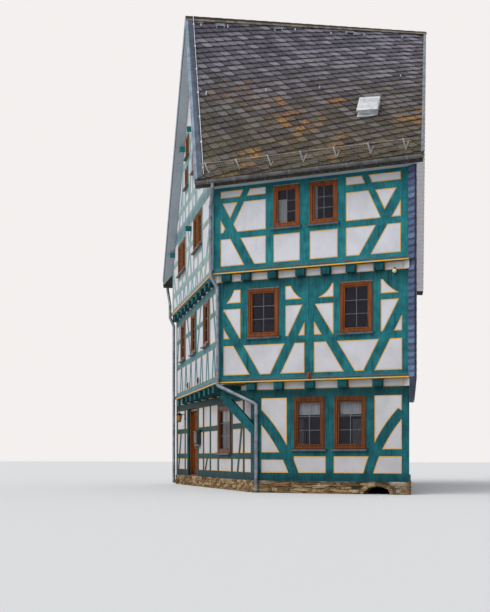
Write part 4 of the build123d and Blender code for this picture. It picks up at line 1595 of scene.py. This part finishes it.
CLADDING_BASE = {Level.FIRST: 2.66, Level.SECOND: 5.30}
CLADDING_TOP = 5.29
CLADDING_EAVES = {Side.FRONT: 7.5, Side.REAR: 6.4}
CLADDING_ENDS = {
    (Side.FRONT, Level.FIRST): ((4.909, -5.667), (5.099, -5.807)),
    (Side.FRONT, Level.SECOND): ((4.940, -5.767), (5.131, -5.907)),
    (Side.REAR, Level.FIRST): ((1.476, 5.740), (1.401, 5.510)),
    (Side.REAR, Level.SECOND): ((1.476, 5.740), (1.401, 5.510)),
}


@dataclass
class HungSlates:
    """Slates hung in level courses on the right side."""

    finishes: Finishes
    wide: float = 0.20
    course: float = 0.15
    proud: float = 0.14

    def roof_over(self, x: float, y: float) -> float:
        """The roof's underside at a place in plan along the right side.

        Args:
            x: The place's X; not used.
            y: The place's Y.

        Returns:
            The height there.
        """
        front, ridge, rear = RIGHT_VERGE
        low = front if y < ridge.y else rear
        share = (y - low.y) / (ridge.y - low.y)
        return low.z + (ridge.z - low.z) * share - 0.12

    def slate(self) -> Piece:
        """Model one hung slate."""
        slates = SlateRoof(self.finishes, wide=self.wide, course=self.course)
        return slates.scale(self.wide * 0.98, self.course * 1.5, self.wide * 0.3, "hung")

    def hung(self, x: float, y: float, z: float, lean: float, askew: float) -> Matrix:
        """The place of one slate on a wall.

        Args:
            x: How far along the wall it hangs.
            y: How far into the wall its tail reaches.
            z: Its tail's height.
            lean: How far its tail stands out, as an angle.
            askew: How far it is turned on its nail.

        Returns:
            The place.
        """
        return moved(x, y, z) @ turned("X", math.pi / 2 - lean) @ turned("Z", askew)

    def hang_side(self, level: Level, rng: random.Random) -> Iterator[Place]:
        """Hang the slates of one storey's right side, up to the roof's underside.

        Args:
            level: The storey.
            rng: Their small differences.

        Yields:
            Each slate's kind and place.
        """
        base = CLADDING_BASE[level]
        top = CLADDING_TOP if level is Level.FIRST else RIGHT_VERGE[1].z
        face = wall(level, Side.RIGHT)
        frame = face.frame() @ moved(0, -self.proud, 0)
        for index in range(int((top - base) / self.course) + 1):
            z = base + index * self.course
            for number in range(int(face.length / self.wide) + 2):
                x = (number + 0.5 * (index % 2)) * self.wide - 0.05
                spot = frame @ Vector((x, 0, z + 0.1))
                if x <= face.length + 0.15 and spot.z <= self.roof_over(spot.x, spot.y):
                    yield 0, frame @ self.hung(x, -0.013, z, 0.045, rng.uniform(-0.02, 0.02))

    def hang_end(self, side: Side, level: Level, rng: random.Random) -> Iterator[Place]:
        """Hang slates on one storey of the cladding's narrow end.

        Args:
            side: The end's side.
            level: The storey.
            rng: Their small differences.

        Yields:
            Each slate's kind and place.
        """
        base = CLADDING_BASE[level]
        top = CLADDING_TOP if level is Level.FIRST else CLADDING_EAVES[side]
        start, end = CLADDING_ENDS[side, level]
        face = Wall(Vector((*start, 0)), Vector((*end, 0)))
        narrow = sized(face.length / self.wide, 1)
        for index in range(int((top - base) / self.course)):
            z = base + index * self.course
            slate = self.hung(face.length / 2, -0.015, z, 0.060, rng.uniform(-0.03, 0.03))
            yield 0, face.frame() @ slate @ narrow

    def build(self) -> None:
        """Hang the slates on the right side, and round its two ends."""
        rng = random.Random(8)
        places = [place for level in CLADDING_BASE for place in self.hang_side(level, rng)]
        # the side's slates take the lighter copy of the slate, painted light
        deliver(stamp("hung_side_slates", [self.slate()], places, 9), self.finishes.sky_lit_slate, "slate")
        places = [
            place
            for side in CLADDING_EAVES
            for level in CLADDING_BASE
            for place in self.hang_end(side, level, rng)
        ]
        deliver(stamp("hung_end_slates", [self.slate()], places, 10), self.finishes.wall_slate, "slate")


# walls


@dataclass
class PanelLines:
    """The thin yellow line painted round every plaster panel."""

    finishes: Finishes
    wide: float = 0.020
    setback: float = 0.008
    jetty_setback: float = 0.030

    def lies_in(self, face: Wall, setback: float, middle: Vector, normal: Vector) -> bool:
        """Whether a polygon is the front of a panel in a wall.

        Args:
            face: The wall's face.
            setback: How far behind it the plaster lies.
            middle: The polygon's middle.
            normal: Its normal.

        Returns:
            True where it is.
        """
        depth = (middle - face.start).dot(-face.outward)
        return normal.dot(face.outward) > 0.98 and abs(depth - setback) < 0.006

    def trace(self, node: Piece, faces: Sequence[Wall], setback: float) -> Piece | None:
        """Inset the outline of each panel of a node.

        Args:
            node: The node of plaster panels.
            faces: The wall faces that its panels lie in.
            setback: How far behind them the plaster lies.

        Returns:
            The lines, or nothing where the node has no panel.
        """
        piece = bpy.data.objects.new("lines", node.data.copy())
        bpy.context.scene.collection.objects.link(piece)
        with editing(piece, everything=True):
            bpy.ops.mesh.remove_doubles(threshold=0.0002)
        pick(piece, lambda c, n: not any(self.lies_in(face, setback, c, n) for face in faces))
        with editing(piece):
            bpy.ops.mesh.delete(type="FACE")
            bpy.ops.mesh.select_all(action="SELECT")
            bpy.ops.mesh.dissolve_limited(angle_limit=0.02)
        for polygon in piece.data.polygons:
            heights = [piece.data.vertices[v].co.z for v in polygon.vertices]
            polygon.select = max(heights) - min(heights) < 0.06
        with editing(piece):
            bpy.ops.mesh.delete(type="FACE")
            bpy.ops.mesh.select_all(action="SELECT")
            bpy.ops.mesh.inset(thickness=self.wide, depth=0.0015, use_boundary=True)
            bpy.ops.mesh.delete(type="FACE")
        if not piece.data.polygons:
            bpy.data.objects.remove(piece)
            return None
        out = faces[0].outward * 0.0012
        place(piece, Matrix.Translation(out))
        return piece

    def build(self, nodes: dict[str, Piece]) -> None:
        """Trace the lines of every wall.

        Args:
            nodes: The model's nodes.
        """
        left = {level: wall(level, Side.LEFT) for level in Level}
        front = {level: wall(level, Side.FRONT) for level in Level}
        rear = [wall(level, Side.REAR) for level in Level]
        plan = {
            "ground_front_infill": [front[Level.GROUND]],
            "first_floor_front_infill": [front[Level.FIRST]],
            "second_floor_front_infill": [front[Level.SECOND]],
            "first_floor_side_infill": [left[Level.FIRST]],
            "second_floor_side_infill": [left[Level.SECOND]],
            "gable_infill": [left[Level.SECOND]],
            "entrance_wall_infill_front": [left[Level.GROUND]],
            "entrance_wall_infill_rear": [left[Level.GROUND]],
            "rear_infill": rear,
            "jetty_infill": [face[level] for level in (Level.GROUND, Level.FIRST) for face in (front, left)],
        }
        for name, faces in plan.items():
            setback = self.jetty_setback if name == "jetty_infill" else self.setback
            lines = self.trace(nodes[name], faces, setback)
            if lines is not None:
                lines = join(name.replace("infill", "lines"), [lines])
                deliver(lines, self.finishes.line_paint, "timber_paint")


@dataclass
class Casements:
    """Sashes, bars and sheet ledges of all the windows."""

    finishes: Finishes
    casing: float = 0.075
    sash: float = 0.042
    bar: float = 0.009

    def sash_of(self, o: Opening) -> Piece:
        """The sash in one casing, with its lower weather rail.

        Args:
            o: The window.

        Returns:
            The sash.
        """
        c = self.casing
        frame = ring(o.left + c, o.right - c, o.base + c, o.top - c, self.sash, 0.006, 0.036)
        low = (o.left + c + 0.01, -0.012, o.base + c + 0.006)
        rail = block("rail", low, (o.right - c - 0.01, 0.010, o.base + c + 0.036), 0.005)
        bead = ring(o.left + 0.016, o.right - 0.016, o.base + 0.016, o.top - 0.016, 0.020, -0.026, -0.014)
        parts = [frame, rail, bead]
        if o.level is Level.GROUND and o.side is Side.FRONT:
            low, high = (o.left + 0.004, -0.022, o.top - 0.006), (o.right - 0.004, 0.020, o.top + 0.030)
            parts.append(block("head", low, high, 0.004))
        return join("sash", parts)

    def bars_of(self, o: Opening) -> Piece:
        """The glazing bars of one window: one upright and two across, or one across on a low window.

        Args:
            o: The window.

        Returns:
            The bars.
        """
        c = self.casing + self.sash - 0.004
        left, right, base, top = o.left + c, o.right - c, o.base + c, o.top - c
        b = self.bar / 2
        middle = (left + right) / 2
        parts = [block("bar", (middle - b, 0.026, base), (middle + b, 0.040, top), 0.002)]
        for share in (0.34, 0.67) if top - base > 0.55 else (0.5,):
            z = base + (top - base) * share
            parts.append(block("bar", (left, 0.028, z - b), (right, 0.039, z + b), 0.002))
        return join("bars", parts)

    def ledge_of(self, o: Opening) -> Piece:
        """The folded sheet over one window's ledge.

        Args:
            o: The window.

        Returns:
            The sheet.
        """
        left, right = o.left - 0.05, o.right + 0.05
        top = block("ledge", (left, -0.082, o.base - 0.004), (right, 0.004, o.base + 0.004), 0)
        pick(top, lambda c, n: n.y < -0.9)
        with editing(top):
            drag(0, 0, -0.010)
        lip = block("ledge", (left, -0.086, o.base - 0.046), (right, -0.078, o.base - 0.004), 0.002)
        ends = [
            block("ledge", (x - 0.003, -0.083, o.base - 0.036), (x + 0.003, 0.0, o.base + 0.012), 0.001)
            for x in (left, right)
        ]
        return join("ledge", [top, lip, *ends])

    def build(self) -> None:
        """Build the sashes, bars and ledges, wall by wall."""
        f = self.finishes
        for side in (Side.FRONT, Side.LEFT, Side.REAR):
            own = [o for o in WINDOWS if o.side is side]
            label = side.name.lower()
            for what, maker, material, slot in (
                ("sashes", self.sash_of, f.casing_wood, "window_wood"),
                ("glazing_bars", self.bars_of, f.bar_paint, "window_wood"),
                ("ledges", self.ledge_of, f.ledge_metal, "zinc"),
            ):
                parts = [place(maker(o), wall(o.level, o.side).frame()) for o in own]
                deliver(join(f"{label}_{what}", parts), material, slot)


@dataclass
class Curtains:
    """Gathered net valances behind the upper panes."""

    finishes: Finishes
    wave: float = 0.055
    depth: float = 0.012
    margin: float = 0.085
    behind: float = 0.100

    def hang(
        self, o: Opening, index: int, end: float, share: float, lower: float = 0.0
    ) -> None:
        """Hang one net.

        Args:
            o: Its window.
            index: Its number.
            end: How far from the window's left it reaches, as a share of its width.
            share: How far down it hangs, as a share of the window's height.
            lower: How far below the pane's top its rod is, as such a share.
        """
        left, wide = o.left + self.margin, (o.right - o.left - 2 * self.margin) * end
        tall = o.top - o.base - 2 * self.margin
        drop, rod_at = tall * share, o.top - self.margin - tall * lower
        count = max(12, int(wide / 0.007))
        deselect()
        bpy.ops.mesh.primitive_grid_add(x_subdivisions=count, y_subdivisions=6, size=1)
        piece = fresh(f"net_{index}")
        length, before = 0.0, None
        lane = {}
        for vertex in piece.data.vertices:
            across, fall = vertex.co.x + 0.5, 0.5 - vertex.co.y
            phase = 2 * math.pi * across * wide / self.wave + index
            swing = self.depth * (0.6 + 0.4 * fall) * math.sin(phase)
            vertex.co = Vector((left + wide * across, self.behind + swing, rod_at - drop * fall))
            lane.setdefault(round(fall * 6), []).append(vertex.co.copy())
        for point in sorted(lane[3], key=lambda p: p.x):
            length += 0.0 if before is None else (point - before).length
            before = point
        place(smooth(piece), wall(o.level, o.side).frame())
        deliver(piece, self.finishes.net, "window_glass")

    def build(self) -> None:
        """Hang the nets: valances, side curtains on the top storey's front, whole nets at the rear."""
        shown = [o for o in WINDOWS if o.base < 7.5]
        top_front = [o for o in shown if o.side is Side.FRONT and o.level is Level.SECOND]
        for index, opening in enumerate(shown):
            if opening.side is Side.FRONT and opening.level is Level.FIRST:
                continue
            if opening in top_front:
                first = opening is top_front[0]
                end, share, lower = (0.44, 0.72, 0.28) if first else (0.14, 1.0, 0.0)
                self.hang(opening, index, end, share, lower)
            else:
                share = NET_SHARE[opening.level]
                self.hang(opening, index, 1.0, 1.0 if opening.side is Side.REAR else share)


@dataclass
class JettyTrim:
    """Painted strips along the jetties' sills, with their iron plates and a small lamp."""

    finishes: Finishes
    ball: tuple[float, float, float] = (4.53, -0.075, 5.07)

    def strip(self, level: Level, side: Side, low: float, high: float, front: float, back: float) -> Piece:
        """Run one strip along a wall.

        Args:
            level: The storey over the jetty.
            side: The wall's side.
            low: Its lower edge over the storey's base.
            high: Its upper edge over the storey's base.
            front: Its front face's depth.
            back: Its back face's depth.

        Returns:
            The strip.
        """
        face = wall(level, side)
        base = STOREY_BASE[level]
        near, far = (0.02, face.length + 0.02) if side is Side.LEFT else (-0.02, face.length)
        bar = block("strip", (near, front, base + low), (far, back, base + high), 0.003)
        return place(bar, face.frame())

    def plate(self, level: Level, side: Side, along: float, high: float) -> Piece:
        """Forge an anchor plate with its wedge.

        Args:
            level: The storey.
            side: The wall's side.
            along: Its place along the wall.
            high: Its middle's height.

        Returns:
            The plate.
        """
        parts = []
        for name, half, tall, front, back, bevel in (
            ("plate", 0.058, 0.085, -0.052, -0.030, 0.006),
            ("wedge", 0.016, 0.060, -0.075, -0.045, 0.005),
        ):
            low, top = (along - half, front, high - tall), (along + half, back, high + tall)
            parts.append(block(name, low, top, bevel))
        head = rod("head", (along, -0.050, high), (along, -0.088, high), 0.020, 8, 0.014)
        return place(join("plate", [*parts, head]), wall(level, side).frame())

    def build(self) -> None:
        """Build and deliver the strips and plates."""
        f = self.finishes
        yellow, dark = [], []
        for level in (Level.FIRST, Level.SECOND):
            for side in (Side.FRONT, Side.LEFT):
                yellow.append(self.strip(level, side, 0.004, 0.032, -0.050, -0.030))
                dark.append(self.strip(level, side, 0.068, 0.098, -0.044, -0.018))
        deliver(join("jetty_yellow_line", yellow), f.line_paint, "timber_paint")
        deliver(join("jetty_dark_line", dark), f.strip_paint, "timber_paint")
        plates = [self.plate(Level.FIRST, Side.FRONT, 2.43, 2.76)]
        plates += [self.plate(Level.FIRST, Side.LEFT, a, 2.93) for a in (5.1, 3.0)]
        deliver(join("anchor_plates", plates), f.rust, "dark_metal")
        self.ball_lamp()

    def ball_lamp(self) -> None:
        """Hang the small ball lamp under the upper jetty's right end."""
        frame = wall(Level.FIRST, Side.FRONT).frame()
        deselect()
        bpy.ops.mesh.primitive_uv_sphere_add(segments=24, ring_count=16, radius=0.048)
        x, y, z = self.ball
        ball = place(smooth(fresh("ball")), moved(x, y, z))
        cap = rod("cap", (x, y, z + 0.030), (x, y, z + 0.075), 0.030, 16, 0.016)
        arm = rod("arm", (x, y, z + 0.065), (x, 0.004, z + 0.065), 0.009, 10)
        deliver(place(join("ball_lamp", [ball]), frame), self.finishes.ball, "window_glass")
        deliver(place(join("ball_lamp_fitting", [cap, arm]), frame), self.finishes.iron, "dark_metal")


@dataclass
class RubbleBase:
    """Courses of quarry stones on the plinth's faces."""

    finishes: Finishes
    tall: float = 0.285
    vent_at: float = 3.12
    vent_half: float = 0.33
    vent_rise: float = 0.17

    def stone(self, seed: int) -> Piece:
        """Knock one stone into shape, a unit long and high.

        Args:
            seed: Seed of its shape.

        Returns:
            The stone.
        """
        piece = block("stone", (-0.5, -0.5, -0.5), (0.5, 0.5, 0.5), 0.12)
        with editing(piece, everything=True):
            bpy.ops.mesh.subdivide(number_cuts=1, smoothness=0.2)
            bpy.ops.mesh.select_all(action="SELECT")
            bpy.ops.transform.vertex_random(offset=0.15, uniform=1.0, seed=seed)
        return smooth(piece, 28)

    def build(self) -> None:
        """Lay the stones round the house, clear of the vent."""
        rng = random.Random(21)
        models = [self.stone(seed) for seed in range(1, 9)]
        places = []
        for side in Side:
            face = wall(Level.GROUND, side)
            frame = face.frame()
            base = 0.0
            while base < self.tall - 0.03:
                high = min(rng.uniform(0.030, 0.090), self.tall - base)
                x = rng.uniform(-0.02, 0.04)
                while x < face.length - 0.04:
                    wide = rng.choice((rng.uniform(0.06, 0.15), rng.uniform(0.15, 0.50)))
                    wide = min(wide, face.length - x)
                    if not (side is Side.FRONT and self.over_vent(x, x + wide, base)):
                        bed = self.bedded(x, base, wide, high, rng)
                        places.append((rng.randrange(len(models)), frame @ bed))
                    x += wide
                base += high
        places += self.arch_stones(rng, len(models))
        stones = stamp("rubble_stones", models, places, 22)
        cut(stones, Vector((0, 0, 0.001)), Vector((0, 0, -1)))
        deliver(stones, self.finishes.rubble, "rubble_stone")

    def bedded(self, x: float, base: float, wide: float, high: float, rng: random.Random) -> Matrix:
        """The place of one stone in a wall, a little out of true.

        Args:
            x: Its left end.
            base: Its bed.
            wide: Its width.
            high: Its course's height.
            rng: Its small differences.

        Returns:
            The place.
        """
        proud = rng.uniform(0.004, 0.030)
        middle = max(base + high / 2 + rng.uniform(-0.012, 0.012), high / 2)
        size = sized(wide * rng.uniform(0.90, 0.98), 0.075, high * rng.uniform(0.68, 1.10))
        turn = turned("Y", rng.uniform(-0.12, 0.12))
        return moved(x + wide / 2, 0.03 - proud, middle) @ turn @ size

    def over_vent(self, left: float, right: float, base: float) -> bool:
        """Whether a stone would cover the vent or its arch.

        Args:
            left: The stone's left end.
            right: The stone's right end.
            base: The stone's bed.

        Returns:
            True where it would.
        """
        nearest = min(max(self.vent_at, left), right)
        reach = abs(nearest - self.vent_at) / (self.vent_half + 0.02)
        if reach >= 1:
            return False
        return base < 0.01 + (self.vent_rise + 0.02) * math.sqrt(1 - reach * reach)

    def arch_stones(self, rng: random.Random, kinds: int) -> list[Place]:
        """Set small flat stones on edge round the vent.

        Args:
            rng: Their small differences.
            kinds: How many kinds of stone there are.

        Returns:
            Each stone's kind and place.
        """
        frame = wall(Level.GROUND, Side.FRONT).frame()
        places = []
        for index in range(15):
            angle = math.pi * (index + 0.5) / 15
            half, rise = self.vent_half + 0.028, self.vent_rise + 0.030
            at = Vector((math.cos(angle) * half, 0, 0.025 + math.sin(angle) * rise))
            lean = math.atan2(at.z / self.vent_rise**2, at.x / self.vent_half**2)
            middle = moved(self.vent_at + at.x, 0.012, at.z)
            turn = turned("Y", math.pi / 2 - lean)
            size = sized(rng.uniform(0.070, 0.105), 0.075, rng.uniform(0.060, 0.085))
            places.append((rng.randrange(kinds), frame @ middle @ turn @ size))
        return places


# rainwater


# each gutter's ends, with how many brackets hold it
GUTTERS = (
    ((Vector((-0.262, -6.192, 7.49)), Vector((5.398, -6.192, 7.49))), 8),
    ((Vector((-5.353, 1.034, 6.39)), Vector((1.650, 6.216, 6.39))), 11),
)
# where each upright length of the front pipe stands, with the heights of its collars
COLLARS = (
    (-0.025, -5.869, (6.95, 6.30, 5.62)),
    (0.110, -5.769, (4.66, 3.70, 2.78)),
    (1.080, -5.616, (1.92, 1.02, 0.22)),
)


@dataclass
class Rainwater:
    """Gutter brackets and pipe collars."""

    finishes: Finishes
    radius: float = 0.075
    pipe: float = 0.045

    def bracket(self, start: Vector, end: Vector, share: float) -> Piece:
        """Bend one bracket under a gutter.

        Args:
            start: The gutter's start.
            end: The gutter's end.
            share: The bracket's place between them.

        Returns:
            The bracket.
        """
        deselect()
        bpy.ops.mesh.primitive_torus_add(
            major_radius=self.radius + 0.006, minor_radius=0.005, major_segments=24, minor_segments=6
        )
        piece = fresh("bracket", (1, 1, 2.6))
        pick(piece, lambda c, n: c.y > 0.006)
        with editing(piece):
            bpy.ops.mesh.delete(type="FACE")
        along = (end - start).normalized()
        return place(piece, stand(start.lerp(end, share), along.cross(UP), UP, along))

    def build(self) -> None:
        """Build and deliver the brackets and collars."""
        f = self.finishes
        brackets = [
            self.bracket(*gutter, (i + 0.5) / count) for gutter, count in GUTTERS for i in range(count)
        ]
        deliver(join("gutter_brackets", brackets), f.zinc, "zinc")
        collars = [
            hoop("collar", (x, y, z), self.pipe, 0.005, 0.045) for x, y, heights in COLLARS for z in heights
        ]
        deliver(join("pipe_collars", collars), f.zinc, "zinc")


@dataclass
class Entrance:
    """The door's mouldings and fittings, its lantern and letter box."""

    finishes: Finishes
    left: float = 1.681
    right: float = 2.841
    jamb: float = 0.083
    face: float = 0.145
    lip: float = 0.004

    def build(self) -> None:
        """Build and deliver the fittings."""
        f = self.finishes
        frame = wall(Level.GROUND, Side.LEFT).frame()
        a, b, face, lip = self.left + self.jamb, self.right - self.jamb, self.face, self.lip
        middle = (a + b) / 2
        trims = []
        for low, high in ((0.468, 1.098), (1.198, 2.087)):
            for start, end in ((a + 0.11, middle - 0.045), (middle + 0.045, b - 0.11)):
                outline = (start - lip, end + lip, low - lip, high + lip)
                trims.append(ring(*outline, 0.022, face - 0.012, face + 0.012))
        deliver(place(join("door_mouldings", trims), frame), f.door_wood, "door_wood", "entrance_door")
        plate = block("plate", (b - 0.082, face - 0.008, 1.22), (b - 0.042, face + 0.001, 1.46), 0.003)
        neck = rod("neck", (b - 0.062, face, 1.38), (b - 0.062, face - 0.052, 1.38), 0.009, 10)
        grip = face - 0.050
        lever = rod("lever", (b - 0.056, grip, 1.38), (b - 0.175, grip, 1.372), 0.010, 10, 0.007)
        low, high = (middle - 0.13, face - 0.006, 1.125), (middle + 0.13, face + 0.001, 1.172)
        fittings = place(join("door_fittings", [plate, neck, lever, block("slot", low, high, 0.004)]), frame)
        deliver(fittings, f.iron, "dark_metal", "entrance_door")
        self.lantern(frame)
        self.letter_box(frame)

    def lantern(self, frame: Matrix) -> None:
        """Build the wall lantern: iron cage, cap, bracket and amber panes.

        Args:
            frame: The entrance wall's place.
        """
        f = self.finishes
        at, high, out = 1.2412, 2.08, -0.18
        cage = [block("back", (at - 0.045, -0.014, high - 0.10), (at + 0.045, 0.0, high + 0.10), 0.004)]
        cage.append(rod("arm", (at, -0.01, high + 0.075), (at, out, high + 0.075), 0.009, 10))
        for index in range(6):
            angle = math.radians(60 * index)
            foot = (at + 0.055 * math.cos(angle), out + 0.055 * math.sin(angle), high - 0.15)
            head = (at + 0.090 * math.cos(angle), out + 0.090 * math.sin(angle), high + 0.05)
            cage.append(rod("rib", foot, head, 0.006, 6))
        for name, low, top, radius, sides, end in (
            ("floor", -0.165, -0.148, 0.058, 6, None),
            ("rim", 0.045, 0.058, 0.102, 6, None),
            ("cap", 0.055, 0.125, 0.108, 6, 0.022),
            ("finial", 0.120, 0.150, 0.014, 8, 0.004),
        ):
            cage.append(rod(name, (at, out, high + low), (at, out, high + top), radius, sides, end))
        deliver(place(join("lantern_cage", cage), frame), f.iron, "dark_metal", replaces=["wall_lantern"])
        panes = rod("panes", (at, out, high - 0.148), (at, out, high + 0.048), 0.051, 6, 0.086)
        deliver(place(join("lantern_panes", [panes]), frame), f.amber, "window_glass")

    def letter_box(self, frame: Matrix) -> None:
        """Build the letter box: body, sloped lid, flap and newspaper ring.

        Args:
            frame: The entrance wall's place.
        """
        at, base = 3.1312, 1.25
        body = block("box", (at - 0.175, -0.128, base), (at + 0.175, 0.0, base + 0.33), 0.006)
        lid = block("lid", (at - 0.18, -0.15, base + 0.325), (at + 0.18, 0.0, base + 0.345), 0)
        pick(lid, lambda c, n: n.z > 0.9)
        with editing(lid):
            bpy.ops.mesh.inset(thickness=0.01)
        for vertex in lid.data.vertices:
            vertex.co.z += 0.05 * (vertex.co.y + 0.15) / 0.15
        flap = block("flap", (at - 0.13, -0.136, base + 0.235), (at + 0.13, -0.126, base + 0.285), 0.003)
        door = block("door", (at - 0.15, -0.134, base + 0.02), (at + 0.15, -0.126, base + 0.215), 0.004)
        lock = rod("lock", (at, -0.130, base + 0.12), (at, -0.142, base + 0.12), 0.011, 10)
        tube = hoop("ring", (0, 0, 0), 0.045, 0.004, 0.30)
        place(tube, moved(at, -0.07, base - 0.055) @ turned("Y", math.pi / 2))
        piece = place(join("post_box", [body, lid, flap, door, lock, tube]), frame)
        deliver(piece, self.finishes.dark_paint, "dark_metal", replaces=["letter_box"])


# the model's own nodes


class NodeDresser:
    """Gives every node of the model its finish, and eases the sharp edges of its timbers, beam and purlin
    ends, bracket, window frames and door.
    """

    def __init__(self, finishes: Finishes, nodes: dict[str, Piece]) -> None:
        """Keep the finishes and the nodes."""
        self.finishes = finishes
        self.nodes = nodes

    def material_for(self, name: str) -> bpy.types.Material:
        """The finish of a node, by its name.

        Args:
            name: The node's name.

        Returns:
            The finish.
        """
        f = self.finishes
        for finish, names in (
            # the plinth shows between the stones as painted shade
            (f.gap_shade_mortar, ("stone_plinth",)),
            (f.party_plaster, ("right_wall",)),
            (f.wall_slate, ("right_slate_cladding",)),
            (f.roof_slate, ("front_roof_slope", "rear_roof_slope")),
            (f.verge_paint, ("verge_boards", "eaves_soffit")),
            (f.gutter_zinc, ("gutters",)),
            (f.zinc, ("downpipes",)),
            (f.galvanised, ("roof_hatch", "snow_guard")),
            (f.casing_wood, ("window_frames",)),
            (f.glass, ("window_glass",)),
            (f.door_wood, ("entrance_door", "entrance_door_frame")),
            (f.iron, ("wall_lantern",)),
            (f.dark_paint, ("letter_box",)),
            (f.pale_paint, ("second_floor_side_timbers", "gable_timbers")),
            (f.side_paint, ("first_floor_side_timbers", "rear_timbers")),
        ):
            if name in names:
                return finish
        if "infill" in name:
            return f.plaster
        # the entrance wall's timbers take the darker paint, painted shade under the jetty
        if name.startswith("entrance_wall"):
            return f.shaded_entrance_paint
        if name.endswith("floor"):
            return f.floor_wood
        return f.front_paint

    def soften(self, node: Piece, width: float) -> None:
        """Round a node's edges by live modifiers, its mesh left alone.

        Args:
            node: The node.
            width: How wide the rounding is.
        """
        weld = node.modifiers.new("weld", "WELD")
        weld.merge_threshold = 0.0002
        flat = node.modifiers.new("flat", "DECIMATE")
        flat.decimate_type = "DISSOLVE"
        flat.angle_limit = math.radians(1.5)
        edge = node.modifiers.new("edge", "BEVEL")
        edge.width = width
        edge.segments = 2
        edge.limit_method = "ANGLE"
        edge.angle_limit = math.radians(35)
        edge.harden_normals = False

    def build(self) -> None:
        """Dress all the nodes."""
        for name, node in self.nodes.items():
            node.data.materials.clear()
            node.data.materials.append(self.material_for(name))
            if "timbers" in name or name in ("jetty_beam_ends", "purlin_ends", "corner_bracket"):
                self.soften(node, 0.007)
            elif name in ("window_frames", "entrance_door", "entrance_door_frame"):
                self.soften(node, 0.004)
        log.info("dressed %d nodes", len(self.nodes))


# studio


@dataclass
class Studio:
    """Pale floor, soft light and the camera."""

    eye: tuple[float, float, float] = (12.460, -29.727, 0.88)
    look: tuple[float, float] = (-0.436, 0.9)
    focal_pixels: float = 1107
    raised_pixels: float = 150
    photo_width: float = 490

    def floor(self) -> None:
        """Lay the pale floor."""
        deselect()
        bpy.ops.mesh.primitive_grid_add(x_subdivisions=8, y_subdivisions=8, size=240, location=(0, 0, -0.002))
        ground = fresh("studio_floor")
        s = Shader("studio_floor")
        pale = s.finish(Base_Color=paint("E4E3E1"), Roughness=0.9, Specular_IOR_Level=0.1)
        ground.data.materials.append(pale)

    def sky(self) -> None:
        """Light the scene softly from all round, with a pale background."""
        world = bpy.data.worlds.new("studio")
        bpy.context.scene.world = world
        world.use_nodes = True
        tree = Wiring(world.node_tree)
        seen = tree.node("ShaderNodeLightPath").outputs
        clear = tree.reckon("MAXIMUM", seen["Is Glossy Ray"], seen["Is Transmission Ray"])
        shown = tree.reckon("MAXIMUM", seen["Is Camera Ray"], clear)
        soft, pale = (
            tree.node("ShaderNodeBackground", {0: paint(code), 1: strength}).outputs[0]
            for code, strength in (("E8EEF6", 0.62), ("F4F0EF", 1.0))
        )
        mix = tree.node("ShaderNodeMixShader", {0: shown, 1: soft, 2: pale})
        tree.node("ShaderNodeOutputWorld", {0: mix.outputs[0]})

    def lamp(self, name: str, aim: Numbers, energy: float, spread: float) -> None:
        """Add a broad lamp far away.

        Args:
            name: Its name.
            aim: The direction that it shines in.
            energy: Its strength.
            spread: Its apparent size in degrees.
        """
        light = bpy.data.lights.new(name, "SUN")
        light.energy = energy
        light.angle = math.radians(spread)
        lamp = bpy.data.objects.new(name, light)
        lamp.rotation_euler = Vector(aim).to_track_quat("-Z", "Y").to_euler()
        bpy.context.scene.collection.objects.link(lamp)

    def camera(self) -> None:
        """Stand the camera at the photograph's place, its verticals upright."""
        data = bpy.data.cameras.new("view")
        data.sensor_fit = "HORIZONTAL"
        data.sensor_width = 36
        data.lens = 36 * self.focal_pixels / self.photo_width
        data.shift_y = self.raised_pixels / self.photo_width
        data.clip_end = 500
        camera = bpy.data.objects.new("view", data)
        camera.location = self.eye
        camera.rotation_euler = (math.pi / 2, 0, math.atan2(-self.look[0], self.look[1]))
        bpy.context.scene.collection.objects.link(camera)
        bpy.context.scene.camera = camera

    def build(self) -> None:
        """Set up the studio."""
        bpy.context.scene.view_settings.view_transform = "Standard"
        self.floor()
        self.sky()
        self.lamp("key", (0.25, 0.75, -0.75), 1.5, 50)
        self.lamp("fill", (0.85, 0.25, -0.5), 0.5, 70)
        self.camera()


def main() -> None:
    """Dress the model and build the fine parts around it."""
    logging.basicConfig(level=logging.INFO, format="%(message)s")
    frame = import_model()
    finishes = Finishes()
    NodeDresser(finishes, frame["nodes"]).build()
    PanelLines(finishes).build(frame["nodes"])
    SlateRoof(finishes).build()
    HungSlates(finishes).build()
    RoofHatch(finishes).build()
    SnowGuard(finishes).build()
    Casements(finishes).build()
    Curtains(finishes).build()
    JettyTrim(finishes).build()
    RubbleBase(finishes).build()
    Rainwater(finishes).build()
    Entrance(finishes).build()
    Studio().build()


if __name__ == "__main__":
    main()
